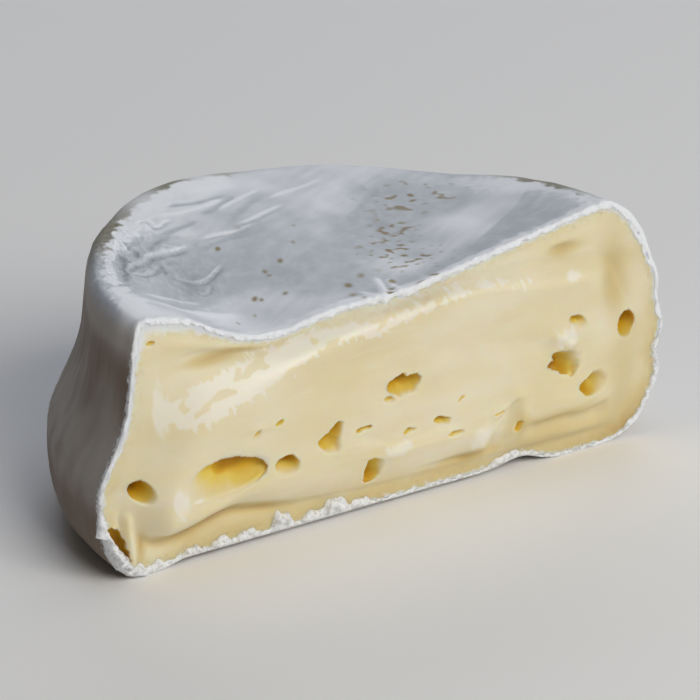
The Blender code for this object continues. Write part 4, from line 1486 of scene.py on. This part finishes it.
# %% Floor
floor_paint, paint = new_material("matt_pale_paint")
paint.inputs["Base Color"].default_value = linear("#FAF9F7")
paint.inputs["Roughness"].default_value = 0.9
FLOOR_SIDE = 6.0
floor_mesh = bpy.data.meshes.new("floor")
half = FLOOR_SIDE / 2
floor_corners = [(-half, -half, 0), (half, -half, 0), (half, half, 0), (-half, half, 0)]
floor_mesh.from_pydata(floor_corners, [], [(0, 1, 2, 3)])
floor = bpy.data.objects.new("floor", floor_mesh)
floor.data.materials.append(floor_paint)
bpy.context.scene.collection.objects.link(floor)
floor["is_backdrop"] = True

# %% [markdown]
# A broad soft light hangs in front of the cut, high enough to cover the top as well. A window lower
# on the right shows as the gloss of the wet paste, a weak cool light above fills the rind, and one
# behind keeps the round back from going black. The left wall is left in shade.

# %% Lights
LIT_HEIGHT = 20


def area_light(name, towards, distance, width, height, watts, colour):
    """A rectangular light, that far from the cheese in a direction, turned to face it."""
    lamp = bpy.data.lights.new(name, "AREA")
    lamp.shape, lamp.size, lamp.size_y = "RECTANGLE", width, height
    lamp.energy, lamp.color = watts, linear(colour)[:3]
    holder = bpy.data.objects.new(name, lamp)
    way = Vector(towards).normalized()
    holder.location = Vector((0, 0, LIT_HEIGHT * MM)) + way * distance
    holder.rotation_euler = way.to_track_quat("Z", "Y").to_euler()
    holder.visible_camera = False
    bpy.context.scene.collection.objects.link(holder)
    return holder


# Name, direction, distance, width, height in metres, watts and colour.
area_light("soft_box", (0.02, -0.80, 0.60), 1.2, 0.75, 0.60, 7.4, "#FFFBF4")
area_light("window", (0.53, -0.78, 0.35), 1.2, 0.60, 0.60, 2.2, "#FFFFFF")
area_light("sky_fill", (0.1, 0.1, 1.0), 1.3, 0.9, 0.9, 3.2, "#D3E0F6")
area_light("back_fill", (0.55, 0.75, 0.36), 1.3, 0.9, 0.6, 4.0, "#F4F6FA")

ROOM_COLOUR, ROOM_STRENGTH = "#E4E0DA", 0.08
world = bpy.data.worlds.new("dim_room")
bpy.context.scene.world = world
world.use_nodes = True
background = world.node_tree.nodes["Background"]
background.inputs["Color"].default_value = linear(ROOM_COLOUR)
background.inputs["Strength"].default_value = ROOM_STRENGTH
bpy.context.scene.view_settings.view_transform = "Standard"

# %% [markdown]
# The camera looks slightly down from the left of the cut. It is far away with a long lens, so the
# near and the far end of the cut keep nearly the same scale.

# %% Camera
AZIMUTH, ELEVATION = math.radians(-35), math.radians(22)
CAMERA_DISTANCE, LOOK_AT = 627.6, Vector((-7.49, 0.0, 27.54))
PICTURE_SIDE, FOCAL_LENGTH, SENSOR_WIDTH = 700, 4158, 36
back = Vector(
    (
        math.sin(AZIMUTH) * math.cos(ELEVATION),
        -math.cos(AZIMUTH) * math.cos(ELEVATION),
        math.sin(ELEVATION),
    )
)
camera_data = bpy.data.cameras.new("camera")
camera_data.sensor_width = SENSOR_WIDTH
camera_data.lens = FOCAL_LENGTH / PICTURE_SIDE * SENSOR_WIDTH
camera_data.clip_start, camera_data.clip_end = 0.05, 20
camera = bpy.data.objects.new("camera", camera_data)
camera.location = AXIS + (LOOK_AT + back * CAMERA_DISTANCE) * MM
camera.rotation_euler = back.to_track_quat("Z", "Y").to_euler()
bpy.context.scene.collection.objects.link(camera)
bpy.context.scene.camera = camera
print("camera, m:", [round(value, 3) for value in camera.location])

# %% [markdown]
# ## Sizes of the solid and of what is seen
# The box round the solid model and the one round what is seen are printed together. They
# should agree within a millimetre, since the rind and the paste are laid over the solid.

# %% Sizes
seen_low, seen_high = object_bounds()
sizes = {
    "solid": [list(solid_low), list(solid_high)],
    "shown": [list(seen_low), list(seen_high)],
}
for name, (low, high) in sizes.items():
    print(name, [round((b - a) / MM, 1) for a, b in zip(low, high)], "mm, base at", round(low[2] / MM, 2))
